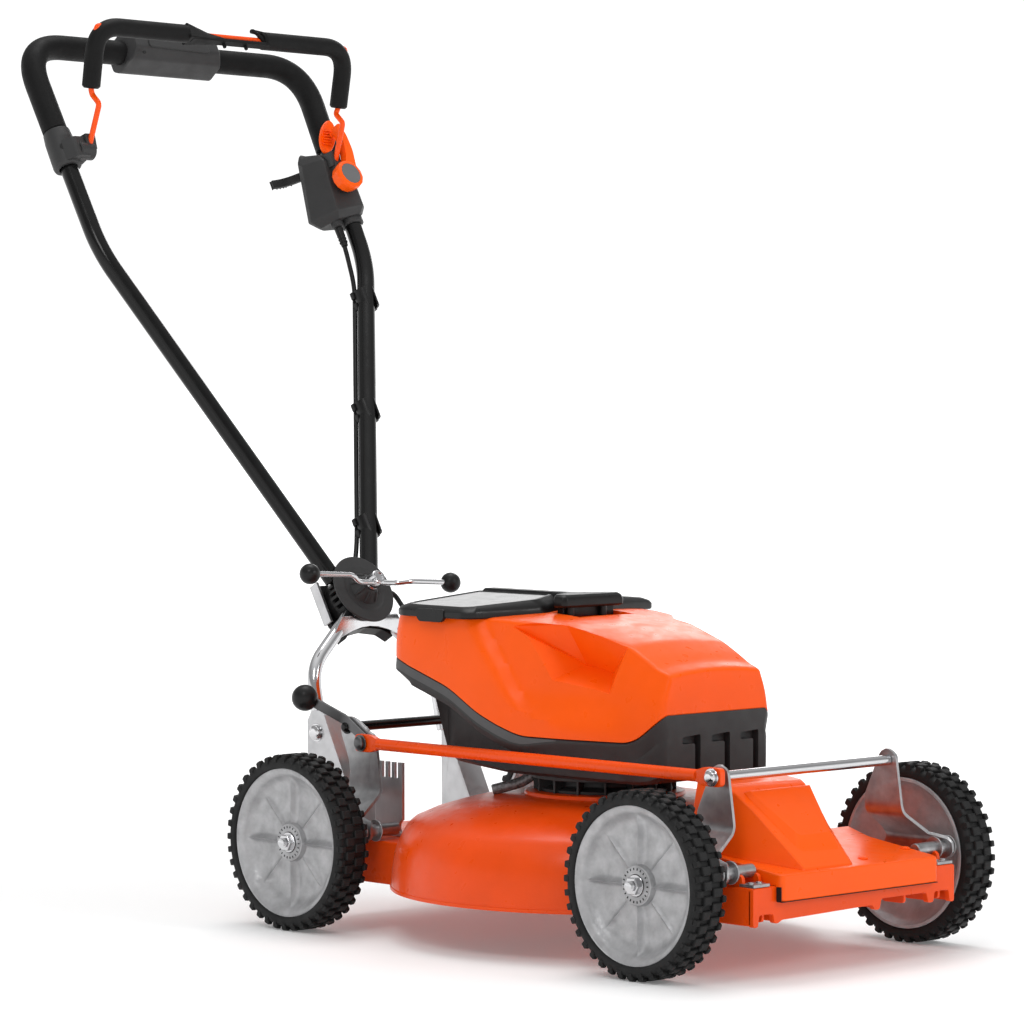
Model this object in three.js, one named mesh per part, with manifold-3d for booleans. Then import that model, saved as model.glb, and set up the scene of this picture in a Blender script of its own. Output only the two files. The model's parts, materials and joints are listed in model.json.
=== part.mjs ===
// A battery lawn mower: round mulching deck, four cast wheels on folded arms,
// battery and motor housing, and a sideways-swivelling handle with a presence bail.
// Millimetres, +Z up, front towards -Y, operator's right hand towards -X.
import * as THREE from "three";
import { mergeVertices } from "three/addons/utils/BufferGeometryUtils.js";
import Module from "manifold-3d";

const wasm = await Module();
wasm.setup();

// ---- Driving dimensions ----
const LENGTH_CENTRE = 226; // from mid-wheelbase back to the middle of the whole length
const WIDTH_CENTRE = 6; // from the deck's mid-plane to the middle of the whole width
const GAP = 0.4; // clearance between neighbouring pieces

const WHEEL = { radius: 105, rim: 88, inner: 203, outer: 248, axle: 288, height: 105, sides: 24 };
const REAR_SHIFT = 2 * WHEEL.axle; // the rear arms repeat the front ones one wheelbase back
const DECK = { centre: -3.5, radius: 252, bottom: 57, wall: 4, hole: 34, top: 168, sides: 36 };
const BAY = { reach: 150, wall: 5 }; // squared ends of the deck casting
const FRONT = { halfWidth: 168, face: -397, bottom: 63, top: 105 };
const REAR = { halfWidth: 168, face: 345, bottom: 57, top: 108 };
const PIVOT = { y: -365, z: 120, radius: 7.5, inner: 136 };
const ARM = { rodY: -323, rodZ: 220, plate: 4, inner: 140, outer: 190 };
const HOUSING = { front: -184, rear: 204, wall: 3, floor: 194 };
const BASE_SHELF = { drop: 28, rise: 5, lean: 3 }; // step under the base's lip, below the seam
const VENT = { top: 250, bar: 9, width: 30, foot: 206 };
const LID = { half: 152, front: 66, rear: 196 };
const BLADE = { length: 470, width: 55, z: 74 };
const HUB = { y: 418, z: 393, lean: 30, swivel: -1.5, discRadius: 45 };
const TUBE = { radius: 11.5, y: 17.7, spread: 29, start: 20, seam: 664 };
const BEND = { kinkX: 221, kink: 490, topX: 232.5, top: 796 }; // the handle's outline above the hub
const GRIP_RADIUS = 16;
const BAIL = { x: 205, y: -4, z: 624, radius: 3.5, gripRadius: 11.5 };
const CLAMP_BALL = 12.5;
const LEVER_BALL = 16;

// ---- Materials ----
const paint = (color, roughness, metalness) => () =>
  new THREE.MeshStandardMaterial({ color, roughness, metalness });
const orangePaint = paint(0xf0500f, 0.35, 0);
const orangePlastic = paint(0xf5560f, 0.42, 0);
const orangeSteel = paint(0xf0480a, 0.4, 0.1);
const greyPlastic = paint(0x3c3c3e, 0.6, 0);
const blackPlastic = paint(0x1c1c1d, 0.35, 0);
const blackPaint = paint(0x141415, 0.3, 0.2);
const rubber = paint(0x1a1a1a, 0.85, 0);
const foam = paint(0x303032, 0.8, 0);
const chrome = paint(0xd8d8dc, 0.15, 1);
const zinc = paint(0x9c9a9c, 0.4, 0.9);
const alloy = paint(0xc4c6c8, 0.45, 0.9);
const castAlloy = paint(0xb9bbbd, 0.5, 0.85);
const darkSteel = paint(0x4a4b4e, 0.45, 0.9);
const braid = paint(0x55565a, 0.7, 0.1);

// ---- Solids ----
const rad = THREE.MathUtils.degToRad;
const vec = (x, y, z) => new THREE.Vector3(x, y, z);

function solidOf(geometry) {
  const flat = geometry.index ? geometry.toNonIndexed() : geometry;
  const bare = new THREE.BufferGeometry();
  bare.setAttribute("position", flat.getAttribute("position"));
  const merged = mergeVertices(bare, 1e-3);
  const vertProperties = merged.attributes.position.array;
  const build = (triVerts) =>
    new wasm.Manifold(new wasm.Mesh({ numProp: 3, vertProperties, triVerts }));
  const triVerts = new Uint32Array(merged.index.array);
  const solid = build(triVerts);
  return solid.volume() < 0 ? build(triVerts.reverse()) : solid;
}

function geometryOf(solid) {
  const mesh = solid.getMesh();
  const geometry = new THREE.BufferGeometry();
  geometry.setAttribute("position", new THREE.BufferAttribute(mesh.vertProperties, 3));
  geometry.setIndex(new THREE.BufferAttribute(mesh.triVerts, 1));
  geometry.computeVertexNormals();
  return geometry;
}

const join = (...solids) => solids.reduce((all, next) => all.add(next));
const cut = (base, ...tools) => tools.reduce((left, tool) => left.subtract(tool), base);

function move(solid, x, y, z) {
  return solidOf(geometryOf(solid).translate(x, y, z));
}

function mirror(solid) {
  return solidOf(geometryOf(solid).scale(-1, 1, 1));
}

// A solid drawn on the left, or its mirror image when it belongs on the right (side -1).
const onSide = (side, solid) => (side < 0 ? mirror(solid) : solid);
const SIDES = [["right", -1], ["left", 1]];

function box(x0, x1, y0, y1, z0, z1) {
  const geometry = new THREE.BoxGeometry(x1 - x0, y1 - y0, z1 - z0);
  return solidOf(geometry.translate((x0 + x1) / 2, (y0 + y1) / 2, (z0 + z1) / 2));
}

// An outline of [a, b] corners extruded along one axis between two stations.
function prism(axis, corners, from, to) {
  const shape = new THREE.Shape(corners.map(([a, b]) => new THREE.Vector2(a, b)));
  const geometry = new THREE.ExtrudeGeometry(shape, { depth: to - from, bevelEnabled: false });
  const frames = {
    x: [vec(0, 1, 0), vec(0, 0, 1), vec(1, 0, 0), vec(from, 0, 0)],
    y: [vec(1, 0, 0), vec(0, 0, 1), vec(0, -1, 0), vec(0, to, 0)],
    z: [vec(1, 0, 0), vec(0, 1, 0), vec(0, 0, 1), vec(0, 0, from)],
  };
  const [a, b, c, origin] = frames[axis];
  const matrix = new THREE.Matrix4().makeBasis(a, b, c).setPosition(origin);
  return solidOf(geometry.applyMatrix4(matrix));
}

// A round bar or disc on an axis: radius, two stations along the axis and its place across it.
function rod(axis, radius, from, to, a, b, sides = 16) {
  const geometry = new THREE.CylinderGeometry(radius, radius, to - from, sides);
  geometry.translate(0, (from + to) / 2, 0);
  if (axis === "x") geometry.rotateZ(-Math.PI / 2).translate(0, a, b);
  if (axis === "y") geometry.translate(a, 0, b);
  if (axis === "z") geometry.rotateX(Math.PI / 2).translate(a, b, 0);
  return solidOf(geometry);
}

// A profile of [radius, station] points spun round an axis through the origin.
function spin(axis, profile, sides, turn = 0) {
  const points = profile.map(([r, h]) => new THREE.Vector2(r, h));
  const geometry = new THREE.LatheGeometry(points, sides, turn);
  if (axis === "x") geometry.rotateZ(-Math.PI / 2);
  if (axis === "z") geometry.rotateX(Math.PI / 2);
  return solidOf(geometry);
}

// A polyline with rounded corners, sampled only where it bends.
class BentPath extends THREE.Curve {
  constructor(corners, bend, segments) {
    super();
    this.stations = [];
    corners.forEach((corner, i) => {
      const before = corners[i - 1];
      const after = corners[i + 1];
      if (!before || !after) {
        const tangent = before ? corner.clone().sub(before) : after.clone().sub(corner);
        this.stations.push({ point: corner, tangent: tangent.normalize() });
        return;
      }
      const start = corner.clone().add(before.clone().sub(corner).setLength(bend));
      const end = corner.clone().add(after.clone().sub(corner).setLength(bend));
      const arc = new THREE.QuadraticBezierCurve3(start, corner, end);
      for (let k = 0; k <= segments; k++) {
        this.stations.push({ point: arc.getPoint(k / segments), tangent: arc.getTangent(k / segments) });
      }
    });
  }
  station(t) {
    return this.stations[Math.round(t * (this.stations.length - 1))];
  }
  getPointAt(t) {
    return this.station(t).point.clone();
  }
  getTangentAt(t) {
    return this.station(t).tangent.clone();
  }
}

function circle(radius, sides) {
  return Array.from({ length: sides }, (_, i) => {
    const angle = (2 * Math.PI * i) / sides;
    return new THREE.Vector2(radius * Math.cos(angle), radius * Math.sin(angle));
  });
}

// A round bar, or a sleeve when it has an inner radius, along a bent line.
function tube(corners, radius, { bend = 20, inner = 0, sides = 12, segments = 5 } = {}) {
  const path = new BentPath(corners, bend, segments);
  const shape = new THREE.Shape(circle(radius, sides));
  if (inner) shape.holes.push(new THREE.Path(circle(inner, sides)));
  const steps = path.stations.length - 1;
  return solidOf(new THREE.ExtrudeGeometry(shape, { steps, extrudePath: path }));
}

// A skin through equal rings of points, closed at both ends.
function loft(rings) {
  const count = rings[0].length;
  const positions = [];
  const corner = (ring, i) => rings[ring][(i + count) % count];
  const triangle = (a, b, c) => positions.push(...a, ...b, ...c);
  for (let r = 0; r + 1 < rings.length; r++) {
    for (let i = 0; i < count; i++) {
      triangle(corner(r, i), corner(r, i + 1), corner(r + 1, i + 1));
      triangle(corner(r, i), corner(r + 1, i + 1), corner(r + 1, i));
    }
  }
  for (const [ring, flip] of [[0, true], [rings.length - 1, false]]) {
    const flat = rings[ring].map(([x, , z]) => new THREE.Vector2(x, z));
    for (const [a, b, c] of THREE.ShapeUtils.triangulateShape(flat, [])) {
      const points = [a, b, c].map((i) => rings[ring][i]);
      triangle(...(flip ? points.reverse() : points));
    }
  }
  const geometry = new THREE.BufferGeometry();
  geometry.setAttribute("position", new THREE.Float32BufferAttribute(positions, 3));
  return solidOf(geometry);
}

// ---- Scene graph ----
const mower = new THREE.Group();
mower.position.set(-WIDTH_CENTRE, -LENGTH_CENTRE, 0);

function place(group, name, solid, material) {
  const mesh = new THREE.Mesh(geometryOf(solid), material());
  mesh.name = name;
  group.add(mesh);
}

// ---- Deck ----
// Outline of the round shell from its skirt up over the shoulder to the motor hole.
const shellOutline = [
  [DECK.radius, DECK.bottom],
  [248, 98],
  [240, 120],
  [224, 139],
  [177, 156],
  [118, DECK.top],
  [DECK.hole, DECK.top + 2],
];

function shellBlank(inset) {
  const outline = shellOutline.map(([r, z], i) => [r - inset, i ? z - inset : z - 1]);
  outline.push([0, outline[outline.length - 1][1]]);
  outline.unshift([0, DECK.bottom - 1]);
  return move(spin("z", outline, DECK.sides), 0, DECK.centre, 0);
}

// One squared end of the casting: a top plate and three walls outside the round shell.
function bay(spec, y0, y1) {
  const w = spec.halfWidth;
  const outer = box(-w, w, y0, y1, spec.bottom, spec.top);
  const inside = [-w + BAY.wall, w - BAY.wall, y0 + BAY.wall, y1 - BAY.wall];
  const hollow = box(...inside, spec.bottom - BAY.wall, spec.top - BAY.wall);
  return cut(outer, hollow, shellBlank(DECK.wall / 2));
}

// Room in the casting for one arm's pivot stub.
function pivotGroove(side, dy) {
  const stub = rod("x", PIVOT.radius + GAP, PIVOT.inner - 1, 210, PIVOT.y + dy, PIVOT.z);
  return onSide(side, stub);
}

function deckShell() {
  const last = shellOutline.length - 1;
  const inner = shellOutline.map(([r, z], i) => [r - (i < last ? DECK.wall : 0), i ? z - DECK.wall : z]);
  const ring = [...shellOutline, ...inner.reverse(), shellOutline[0]];
  const shell = move(spin("z", ring, DECK.sides), 0, DECK.centre, 0);
  const ends = [bay(FRONT, FRONT.face, -BAY.reach), bay(REAR, BAY.reach, REAR.face)];
  const frontOpenings = [[-163, -132], [56, 130], [135, 163]].map(([x0, x1]) =>
    box(x0, x1, FRONT.face - 1, FRONT.face + 8, 50, 76),
  );
  const rearOpening = box(-60, 60, REAR.face - 40, REAR.face + 1, 40, 80);
  const grooves = [0, REAR_SHIFT].flatMap((dy) => [-1, 1].map((side) => pivotGroove(side, dy)));
  return cut(join(shell, ...ends), ...frontOpenings, rearOpening, ...grooves);
}
place(mower, "deck_shell", deckShell(), orangePaint);

// Plastic cover over the front of the deck: flat plate, drip lip and an off-centre hump.
const hump = [ // y, outer and inner foot, outer and inner edge, their heights
  [-399, -88, -8, -84, -12, 118, 118],
  [-330, -122, 20, -96, 6, 188, 186],
  [-302, -128, 34, -104, 16, 204, 202],
  [-258, -128, 40, -104, 24, 208, 206],
];
const HUMP_FOOT = 112;

function frontCover(inset) {
  const plan = [
    [-130 + inset, -405 + inset],
    [130 - inset, -405 + inset],
    [130 - inset, -300],
    [150 - inset, -250 - inset],
    [-150 + inset, -250 - inset],
    [-130 + inset, -300],
  ];
  const slab = prism("z", plan, 88 - inset, 117 - inset);
  const [first, end] = [hump[0][0], hump[hump.length - 1][0]];
  const bulge = hump.map(([y, outerFoot, innerFoot, outer, inner, outerTop, innerTop]) => {
    const at = THREE.MathUtils.clamp(y, first + inset, end - inset);
    return [
      [outerFoot + inset, at, HUMP_FOOT],
      [innerFoot - inset, at, HUMP_FOOT],
      [inner - inset, at, innerTop - inset],
      [outer + inset, at, outerTop - inset],
    ];
  });
  return join(slab, loft(bulge));
}

function frontCoverShell() {
  const wall = 3;
  const overDeck = box(-200, 200, FRONT.face - GAP, -BAY.reach, 40, FRONT.top + GAP);
  const screws = [[30, -380], [122, -362]].map(([x, y]) => rod("z", 4, 115, 119, x, y, 10));
  const shell = cut(frontCover(0), frontCover(wall), overDeck, shellBlank(-GAP));
  return join(shell, ...screws);
}
place(mower, "front_cover", frontCoverShell(), orangePlastic);

// ---- Motor housing ----
// Stations along the housing: y, seam height, seam half width, top height, top half width,
// floor height and floor half width.
const housing = [
  [HOUSING.front, 276, 93, 320, 80, 204, 88],
  [-165, 255, 101, 329, 83, 196, 92],
  [-148, 243, 106, 338, 85, HOUSING.floor, 95],
  [-121, 243, 113, 351, 86, HOUSING.floor, 97],
  [-60, 243, 126, 366, 95, HOUSING.floor, 100],
  [0, 244, 140, 375, 118, HOUSING.floor, 100],
  [60, 268, 148, 378, 140, HOUSING.floor, 100],
  [105, 295, 151, 379, 145, 198, 100],
  [150, 310, 152, 380, 146, 202, 98],
  [166, 315, 152, 380, 146, 208, 95],
  [170, 316, 152, 380, 146, 286, 112],
  [192, 324, 150, 380, 144, 300, 138],
  [HOUSING.rear, 327, 140, 379, 136, 308, 132],
];

function coverBlank(inset) {
  return loft(
    housing.map(([y, seam, seamHalf, top, topHalf]) => {
      const at = THREE.MathUtils.clamp(y, HOUSING.front + inset, HOUSING.rear - inset);
      const low = seam - (inset ? 20 : 0);
      const a = seamHalf - inset;
      const b = topHalf - inset;
      const crown = top + 5 - inset;
      return [
        [-a, at, low],
        [a, at, low],
        [b, at, top - 8 - inset],
        [b - 9, at, top - inset],
        [0, at, crown],
        [9 - b, at, top - inset],
        [-b, at, top - 8 - inset],
      ];
    }),
  );
}

// The x range of a box between two distances from the middle, on one side.
const spanOn = (side, near, far) => (side < 0 ? [-far, -near] : [near, far]);

function motorCover() {
  const shell = cut(coverBlank(0), coverBlank(HOUSING.wall));
  const bays = [-1, 1].map((side) => box(...spanOn(side, 8, 128), 62, 188, 340, 400));
  const capSlot = box(-46, 46, -6, 36, 376, 400);
  return cut(shell, ...bays, capSlot);
}
place(mower, "motor_cover", motorCover(), orangePlastic);

// The base hangs below the seam: a lip as wide as the cover, a step in, and walls down to the floor.
function baseBlank(inset) {
  return loft(
    housing.map(([y, seam, seamHalf, , , floor, floorHalf]) => {
      const at = THREE.MathUtils.clamp(y, HOUSING.front + inset, HOUSING.rear - inset);
      const a = seamHalf - inset;
      const b = floorHalf - inset;
      const high = inset ? seam + 10 : seam - GAP;
      const low = Math.min(floor + inset, high - 8);
      const shelf = THREE.MathUtils.clamp(seam - BASE_SHELF.drop + inset, low + 1, high - 6);
      const lip = Math.min(shelf + BASE_SHELF.rise, high - 1);
      return [
        [-b, at, low],
        [b, at, low],
        [b + BASE_SHELF.lean, at, shelf],
        [a, at, lip],
        [a, at, high],
        [-a, at, high],
        [-a, at, lip],
        [-b - BASE_SHELF.lean, at, shelf],
      ];
    }),
  );
}

// An inverted-L slot through the base's front face.
function vent(x) {
  const [y0, y1] = [HOUSING.front - 2, HOUSING.front + 12];
  const bar = box(x, x + VENT.width, y0, y1, VENT.top - VENT.bar, VENT.top);
  const leg = box(x + VENT.width - VENT.bar, x + VENT.width, y0, y1, VENT.foot, VENT.top);
  return join(bar, leg);
}

function motorBase() {
  const hole = rod("z", 40, HOUSING.floor - 5, HOUSING.floor + 10, 0, DECK.centre, 24);
  const vents = [-57, -8, 40].map(vent);
  return cut(baseBlank(0), baseBlank(HOUSING.wall), hole, ...vents);
}
place(mower, "motor_base", motorBase(), greyPlastic);

// Ribbed ring that carries the motor on the deck.
function motorMount() {
  const z0 = DECK.top + 2 + GAP;
  const z1 = HOUSING.floor - GAP;
  const ring = move(
    spin("z", [[50, z0], [78, z0 - 1], [78, z0 + 8], [66, z0 + 10], [66, z1], [50, z1], [50, z0]], 24),
    0, DECK.centre, 0,
  );
  const ribs = Array.from({ length: 8 }, (_, i) => {
    const rib = prism("x", [[60, z0 + 6], [77, z0 + 6], [68, z1 - 2], [60, z1 - 2]], -2, 2);
    return move(solidOf(geometryOf(rib).rotateZ((i * Math.PI) / 4)), 0, DECK.centre, 0);
  });
  return join(ring, ...ribs);
}
place(mower, "motor_mount", motorMount(), greyPlastic);

function motorStator() {
  const foot = HOUSING.floor + HOUSING.wall + 1.5;
  const bore = 16;
  const profile = [
    [bore, foot],
    [70, foot],
    [74, foot + 6],
    [74, foot + 48],
    [60, foot + 56],
    [bore, foot + 56],
    [bore, foot],
  ];
  return move(spin("z", profile, 24), 0, DECK.centre, 0);
}
place(mower, "motor_stator", motorStator(), darkSteel);
place(mower, "motor_controller", box(-58, 58, -160, -92, 206, 236), alloy);

for (const [hand, side] of SIDES) {
  place(mower, `battery_${hand}`, box(...spanOn(side, 12, 122), 68, 182, 320, 376), blackPlastic);
}

// Fixed cap between the two lids.
function lidCentre() {
  const plan = [[-50, 16], [50, 16], [50, 34], [9, 52], [9, 196], [-9, 196], [-9, 52], [-50, 34]];
  const top = prism("z", plan, 386.5, 402);
  const neck = box(-40, 40, 22, 34, 377, 388);
  const keel = box(-7, 7, 40, 190, 383, 388);
  return cut(join(top, neck, keel), coverBlank(-GAP));
}
place(mower, "lid_centre", lidCentre(), blackPlastic);

// Right-hand lid: it falls from the middle to the flank, where a tab hangs over the cover's edge.
function lid() {
  const section = (y, shoulderY, rimY, outer) => [
    [-10, y, 386.5],
    [-10, y, 401],
    [-52, shoulderY, 398],
    [-outer, rimY, 389],
    [-outer - 5, rimY, 382],
  ];
  const body = loft([
    section(60, 44, LID.front, LID.half),
    section(190, 194, LID.rear - 3, LID.half - 2),
  ]);
  const tab = box(-LID.half - 6, -LID.half - 2, 110, 150, 371, 386);
  return cut(join(body, tab), coverBlank(-GAP));
}
place(mower, "lid_right", lid(), blackPlastic);
place(mower, "lid_left", mirror(lid()), blackPlastic);

// Braided sleeve over the motor's leads, from the base down to the deck.
const sleevePath = [vec(-58, 62, 187), vec(-66, 70, 180), vec(-88, 92, 172)];
place(mower, "cable_sleeve", tube(sleevePath, 6, { bend: 5, sides: 10 }), braid);

// ---- Blade ----
const SHAFT_RADIUS = 9;
const shaftProfile = [[0, 62], [11, 62], [11, 69], [SHAFT_RADIUS, 70], [SHAFT_RADIUS, 262], [0, 262]];
place(mower, "rotor_shaft", move(spin("z", shaftProfile, 16), 0, DECK.centre, 0), zinc);

// Flat bar with cutting corners and a raised wing behind each.
function blade() {
  const half = BLADE.length / 2;
  const w = BLADE.width / 2;
  const z = BLADE.z;
  const plan = [[-half, -w + 8], [-half + 70, -w], [half, -w], [half, w - 8], [half - 70, w], [-half, w]];
  const flat = prism("z", plan, z, z + 4);
  const wing = (s) => {
    const rise = [[s * (half - 65), z + 3], [s * half, z + 14], [s * half, z + 17], [s * (half - 70), z + 4]];
    const [from, to] = s > 0 ? [w - 14, w] : [-w, 14 - w];
    return prism("y", rise, from, to);
  };
  const hole = rod("z", SHAFT_RADIUS + GAP, z - 5, z + 20, 0, 0);
  return move(cut(join(flat, wing(1), wing(-1)), hole), 0, DECK.centre, 0);
}
place(mower, "blade", blade(), darkSteel);

// ---- Wheel arms ----
const STUD = 4; // radius of the rods' shouldered ends
const REAR_ROD = { y: 292, z: 236 };

// Ear behind the link on a rear arm, for the rear cross rod.
function ear() {
  const edge = [
    [-322, 234], [-300, 247], [-284, 250], [-274, 242], [-272, 230], [-286, 200], [-290, 175], [-320, 180],
  ];
  const hole = rod("x", STUD + GAP, 120, 160, REAR_ROD.y - REAR_SHIFT, REAR_ROD.z, 12);
  return cut(prism("x", edge, ARM.inner - ARM.plate / 2, ARM.inner + ARM.plate / 2), hole);
}

// A folded plate: straight down from the rod, out towards the wheel, and down again to the axle.
function arm(side, dy) {
  const t = ARM.plate;
  const fold = [
    [ARM.inner - t / 2, 240], [ARM.inner - t / 2, 161], [ARM.outer - t, 128], [ARM.outer - t, 80],
    [ARM.outer, 80], [ARM.outer, 130], [ARM.inner + t / 2, 163], [ARM.inner + t / 2, 240],
  ];
  const folded = prism("y", fold, -400, -250);
  const edge = [
    [-336, 226], [-328, 234], [-317, 234], [-309, 226], [-288, 180], [-286, 140], [-274, 116], [-274, 96],
    [-284, 91], [-300, 91], [-372, 108], [-379, 114], [-379, 126], [-372, 133], [-351, 134], [-344, 160],
  ];
  const outline = prism("x", edge, 100, 220);
  const stub = rod("x", PIVOT.radius, PIVOT.inner, 201, PIVOT.y, PIVOT.z);
  const axleHole = rod("x", 8 + GAP, 180, 220, -WHEEL.axle, WHEEL.height);
  const rodHole = rod("x", STUD + GAP, 100, 160, ARM.rodY, ARM.rodZ, 12);
  const plate = folded.intersect(outline);
  const drilled = cut(dy ? join(plate, ear()) : plate, axleHole, rodHole);
  return move(onSide(side, join(drilled, stub)), 0, dy, 0);
}
for (const [end, dy] of [["front", 0], ["rear", REAR_SHIFT]]) {
  for (const [hand, side] of SIDES) {
    place(mower, `${end}_arm_${hand}`, arm(side, dy), zinc);
  }
}

// Cross rod between the front arms; its right-hand end carries the height link.
const crossBar = (y, z) => rod("x", 6, -ARM.inner + 2.5, ARM.inner - 2.5, y, z);
function frontRod() {
  const [y, z] = [ARM.rodY, ARM.rodZ];
  const stud = rod("x", STUD, -160, 148, y, z, 12);
  const ends = [[-164, -158], [ARM.inner + 2.5, ARM.inner + 8]];
  const heads = ends.map(([from, to]) => rod("x", 8, from, to, y, z));
  return join(crossBar(y, z), stud, ...heads);
}
place(mower, "front_cross_rod", frontRod(), chrome);

// Black cross rod between the rear arms.
function rearRod() {
  const stud = rod("x", STUD, -ARM.inner - 2, ARM.inner + 2, REAR_ROD.y, REAR_ROD.z, 12);
  return join(crossBar(REAR_ROD.y, REAR_ROD.z), stud);
}
place(mower, "rear_cross_rod", rearRod(), blackPaint);

// Link from the front rod to the lever's stud on the right-hand rear arm.
const linkRear = ARM.rodY + REAR_SHIFT;
function heightLink() {
  const x = -150.5;
  const bar = tube([vec(x, ARM.rodY + 16, ARM.rodZ), vec(x, linkRear - 16, ARM.rodZ)], 7, { sides: 12 });
  const eye = (y, to) => {
    const pad = box(x - 4, x + 4, Math.min(y, to), Math.max(y, to), ARM.rodZ - 11, ARM.rodZ + 11);
    const nose = rod("x", 11, x - 4, x + 4, y, ARM.rodZ);
    return join(pad, nose);
  };
  const holes = [ARM.rodY, linkRear].map((y) => rod("x", STUD + GAP, x - 10, x + 10, y, ARM.rodZ, 12));
  return cut(join(bar, eye(ARM.rodY, ARM.rodY + 26), eye(linkRear, linkRear - 26)), ...holes);
}
place(mower, "height_link", heightLink(), orangeSteel);

// Strips screwed to the deck that hold the front arms' pivots down.
function retainer() {
  const strip = box(140, 166, -396, -374, FRONT.top + GAP, FRONT.top + 3.5);
  const screws = [147, 160].map((x) => rod("z", 3.5, FRONT.top + 1, FRONT.top + 5.5, x, -386, 10));
  return join(strip, ...screws);
}
place(mower, "retainer_right", mirror(retainer()), zinc);
place(mower, "retainer_left", retainer(), zinc);

// Bent lever with a ball: its stud passes through the rear arm and the link.
function heightLever() {
  const onStud = (radius, from, to, sides) => rod("x", radius, from, to, linkRear, ARM.rodZ, sides);
  const stud = onStud(STUD, -160, -128, 12);
  const head = onStud(8, -164, -158, 12);
  const nut = onStud(8, -137.5, -131, 6);
  const eye = onStud(8, -145.8, -142.5, 12);
  const bend = [[-145.8, 250], [-142.5, 250], [-142.5, 292], [-163, 330], [-167, 330], [-145.8, 291]];
  const slope = [[247, 226], [252, 213], [331, 262], [329, 271]];
  const strip = prism("z", bend, 200, 300).intersect(prism("x", slope, -180, -120));
  return join(stud, head, nut, eye, strip);
}
place(mower, "height_lever", heightLever(), darkSteel);
const leverBall = solidOf(new THREE.SphereGeometry(LEVER_BALL, 12, 9).translate(-172, 335, 270.5));
place(mower, "height_lever_ball", cut(leverBall, heightLever()), blackPlastic);

// Comb plate that the lever rests in.
function notchPlate() {
  const plate = box(-124, -120, 214, 262, REAR.top + GAP, 197);
  const slots = [222, 233, 244].map((y) => box(-130, -110, y, y + 6, 178, 200));
  const foot = box(-124, -106, 234, 262, REAR.top + GAP, REAR.top + 4);
  const trench = rod("x", PIVOT.radius + 1.5, -140, -90, PIVOT.y + REAR_SHIFT, PIVOT.z);
  return cut(join(plate, foot), ...slots, trench);
}
place(mower, "notch_plate", notchPlate(), alloy);

// ---- Wheels ----
const halfStep = Math.PI / WHEEL.sides; // turns a flat of each tyre to the ground
function rim() {
  const i = WHEEL.inner;
  const o = WHEEL.outer;
  const r = WHEEL.rim;
  const profile = [
    [12.5, i + 2], [21, i + 2], [22, 222], [r - 6, 217], [r - 4, i], [r, i],
    [r, o], [r - 4, o], [r - 8, 228], [24, 227], [21, o - 9], [12.5, o - 9], [12.5, i + 2],
  ];
  return spin("x", profile, WHEEL.sides, halfStep);
}
function tyre() {
  const i = WHEEL.inner;
  const o = WHEEL.outer;
  const r = WHEEL.radius / Math.cos(halfStep);
  const low = WHEEL.rim + GAP;
  const profile = [[low, i], [r - 7, i], [r, i + 8], [r, o - 8], [r - 7, o], [low, o], [low, i]];
  return spin("x", profile, WHEEL.sides, halfStep);
}
function wheelAxle() {
  const stub = rod("x", 8, ARM.outer - 3.6, 251, 0, 0, 12);
  const nut = rod("x", 11.5, 240, 247, 0, 0, 6);
  const collar = rod("x", 12, ARM.outer + 1, ARM.outer + 8, 0, 0, 10);
  return join(stub, nut, collar);
}
const wheelParts = [
  ["wheel_rim", rim(), castAlloy],
  ["tyre", tyre(), rubber],
  ["wheel_axle", wheelAxle(), chrome],
];
for (const [end, y] of [["front", -WHEEL.axle], ["rear", WHEEL.axle]]) {
  for (const [hand, side] of SIDES) {
    for (const [piece, solid, material] of wheelParts) {
      place(mower, `${piece}_${end}_${hand}`, move(onSide(side, solid), 0, y, WHEEL.height), material);
    }
  }
}

// ---- Handle carrier on the deck ----
const BRACKET = { x: 112, foot: REAR.top + GAP, plate: 4, inward: 34 };
const YOKE = { x: 101, boltY: 380, boltZ: 222 };
function rearBracket(side) {
  const { x, foot, plate, inward } = BRACKET;
  const edge = [[396, 130], [397, 236], [390, 248], [372, 250], [366, 244], [297, foot], [396, foot]];
  const web = prism("x", edge, x - plate / 2, x + plate / 2);
  const slope = [[366, 244], [297, foot], [301, foot], [370, 244]];
  const flange = prism("x", slope, x - inward, x);
  const base = box(x - inward, x + plate / 2, 297, REAR.face, foot, foot + plate);
  const bolt = rod("x", 5 + GAP, 60, 130, YOKE.boltY, YOKE.boltZ, 12);
  return onSide(side, cut(join(web, flange, base), bolt));
}
for (const [hand, side] of SIDES) {
  place(mower, `rear_bracket_${hand}`, rearBracket(side), alloy);
}

// ---- Yoke: bent tube from both brackets up to the swivel hub ----
const hub = new THREE.Group();
hub.position.set(0, HUB.y, HUB.z);
hub.rotation.x = -rad(HUB.lean);
mower.add(hub);
const handle = new THREE.Group();
handle.rotation.y = -rad(HUB.swivel);
hub.add(handle);

function yokeLeg(side) {
  const line = [vec(side * YOKE.x, 384, 214), vec(side * YOKE.x, 404, 298), vec(side * 30, 420, 352)];
  const leg = tube(line, 8.5, { bend: 24, sides: 12 });
  const pin = rod("x", 5, BRACKET.x - 14, BRACKET.x + 8, YOKE.boltY, YOKE.boltZ, 12);
  const head = rod("x", 8.5, BRACKET.x + 2.5, BRACKET.x + 7, YOKE.boltY, YOKE.boltZ, 6);
  return join(leg, onSide(side, join(pin, head)));
}
const yoke = join(yokeLeg(-1), yokeLeg(1), box(-36, 36, 412, 428, 343, 358));
place(mower, "yoke", yoke, chrome);

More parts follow.
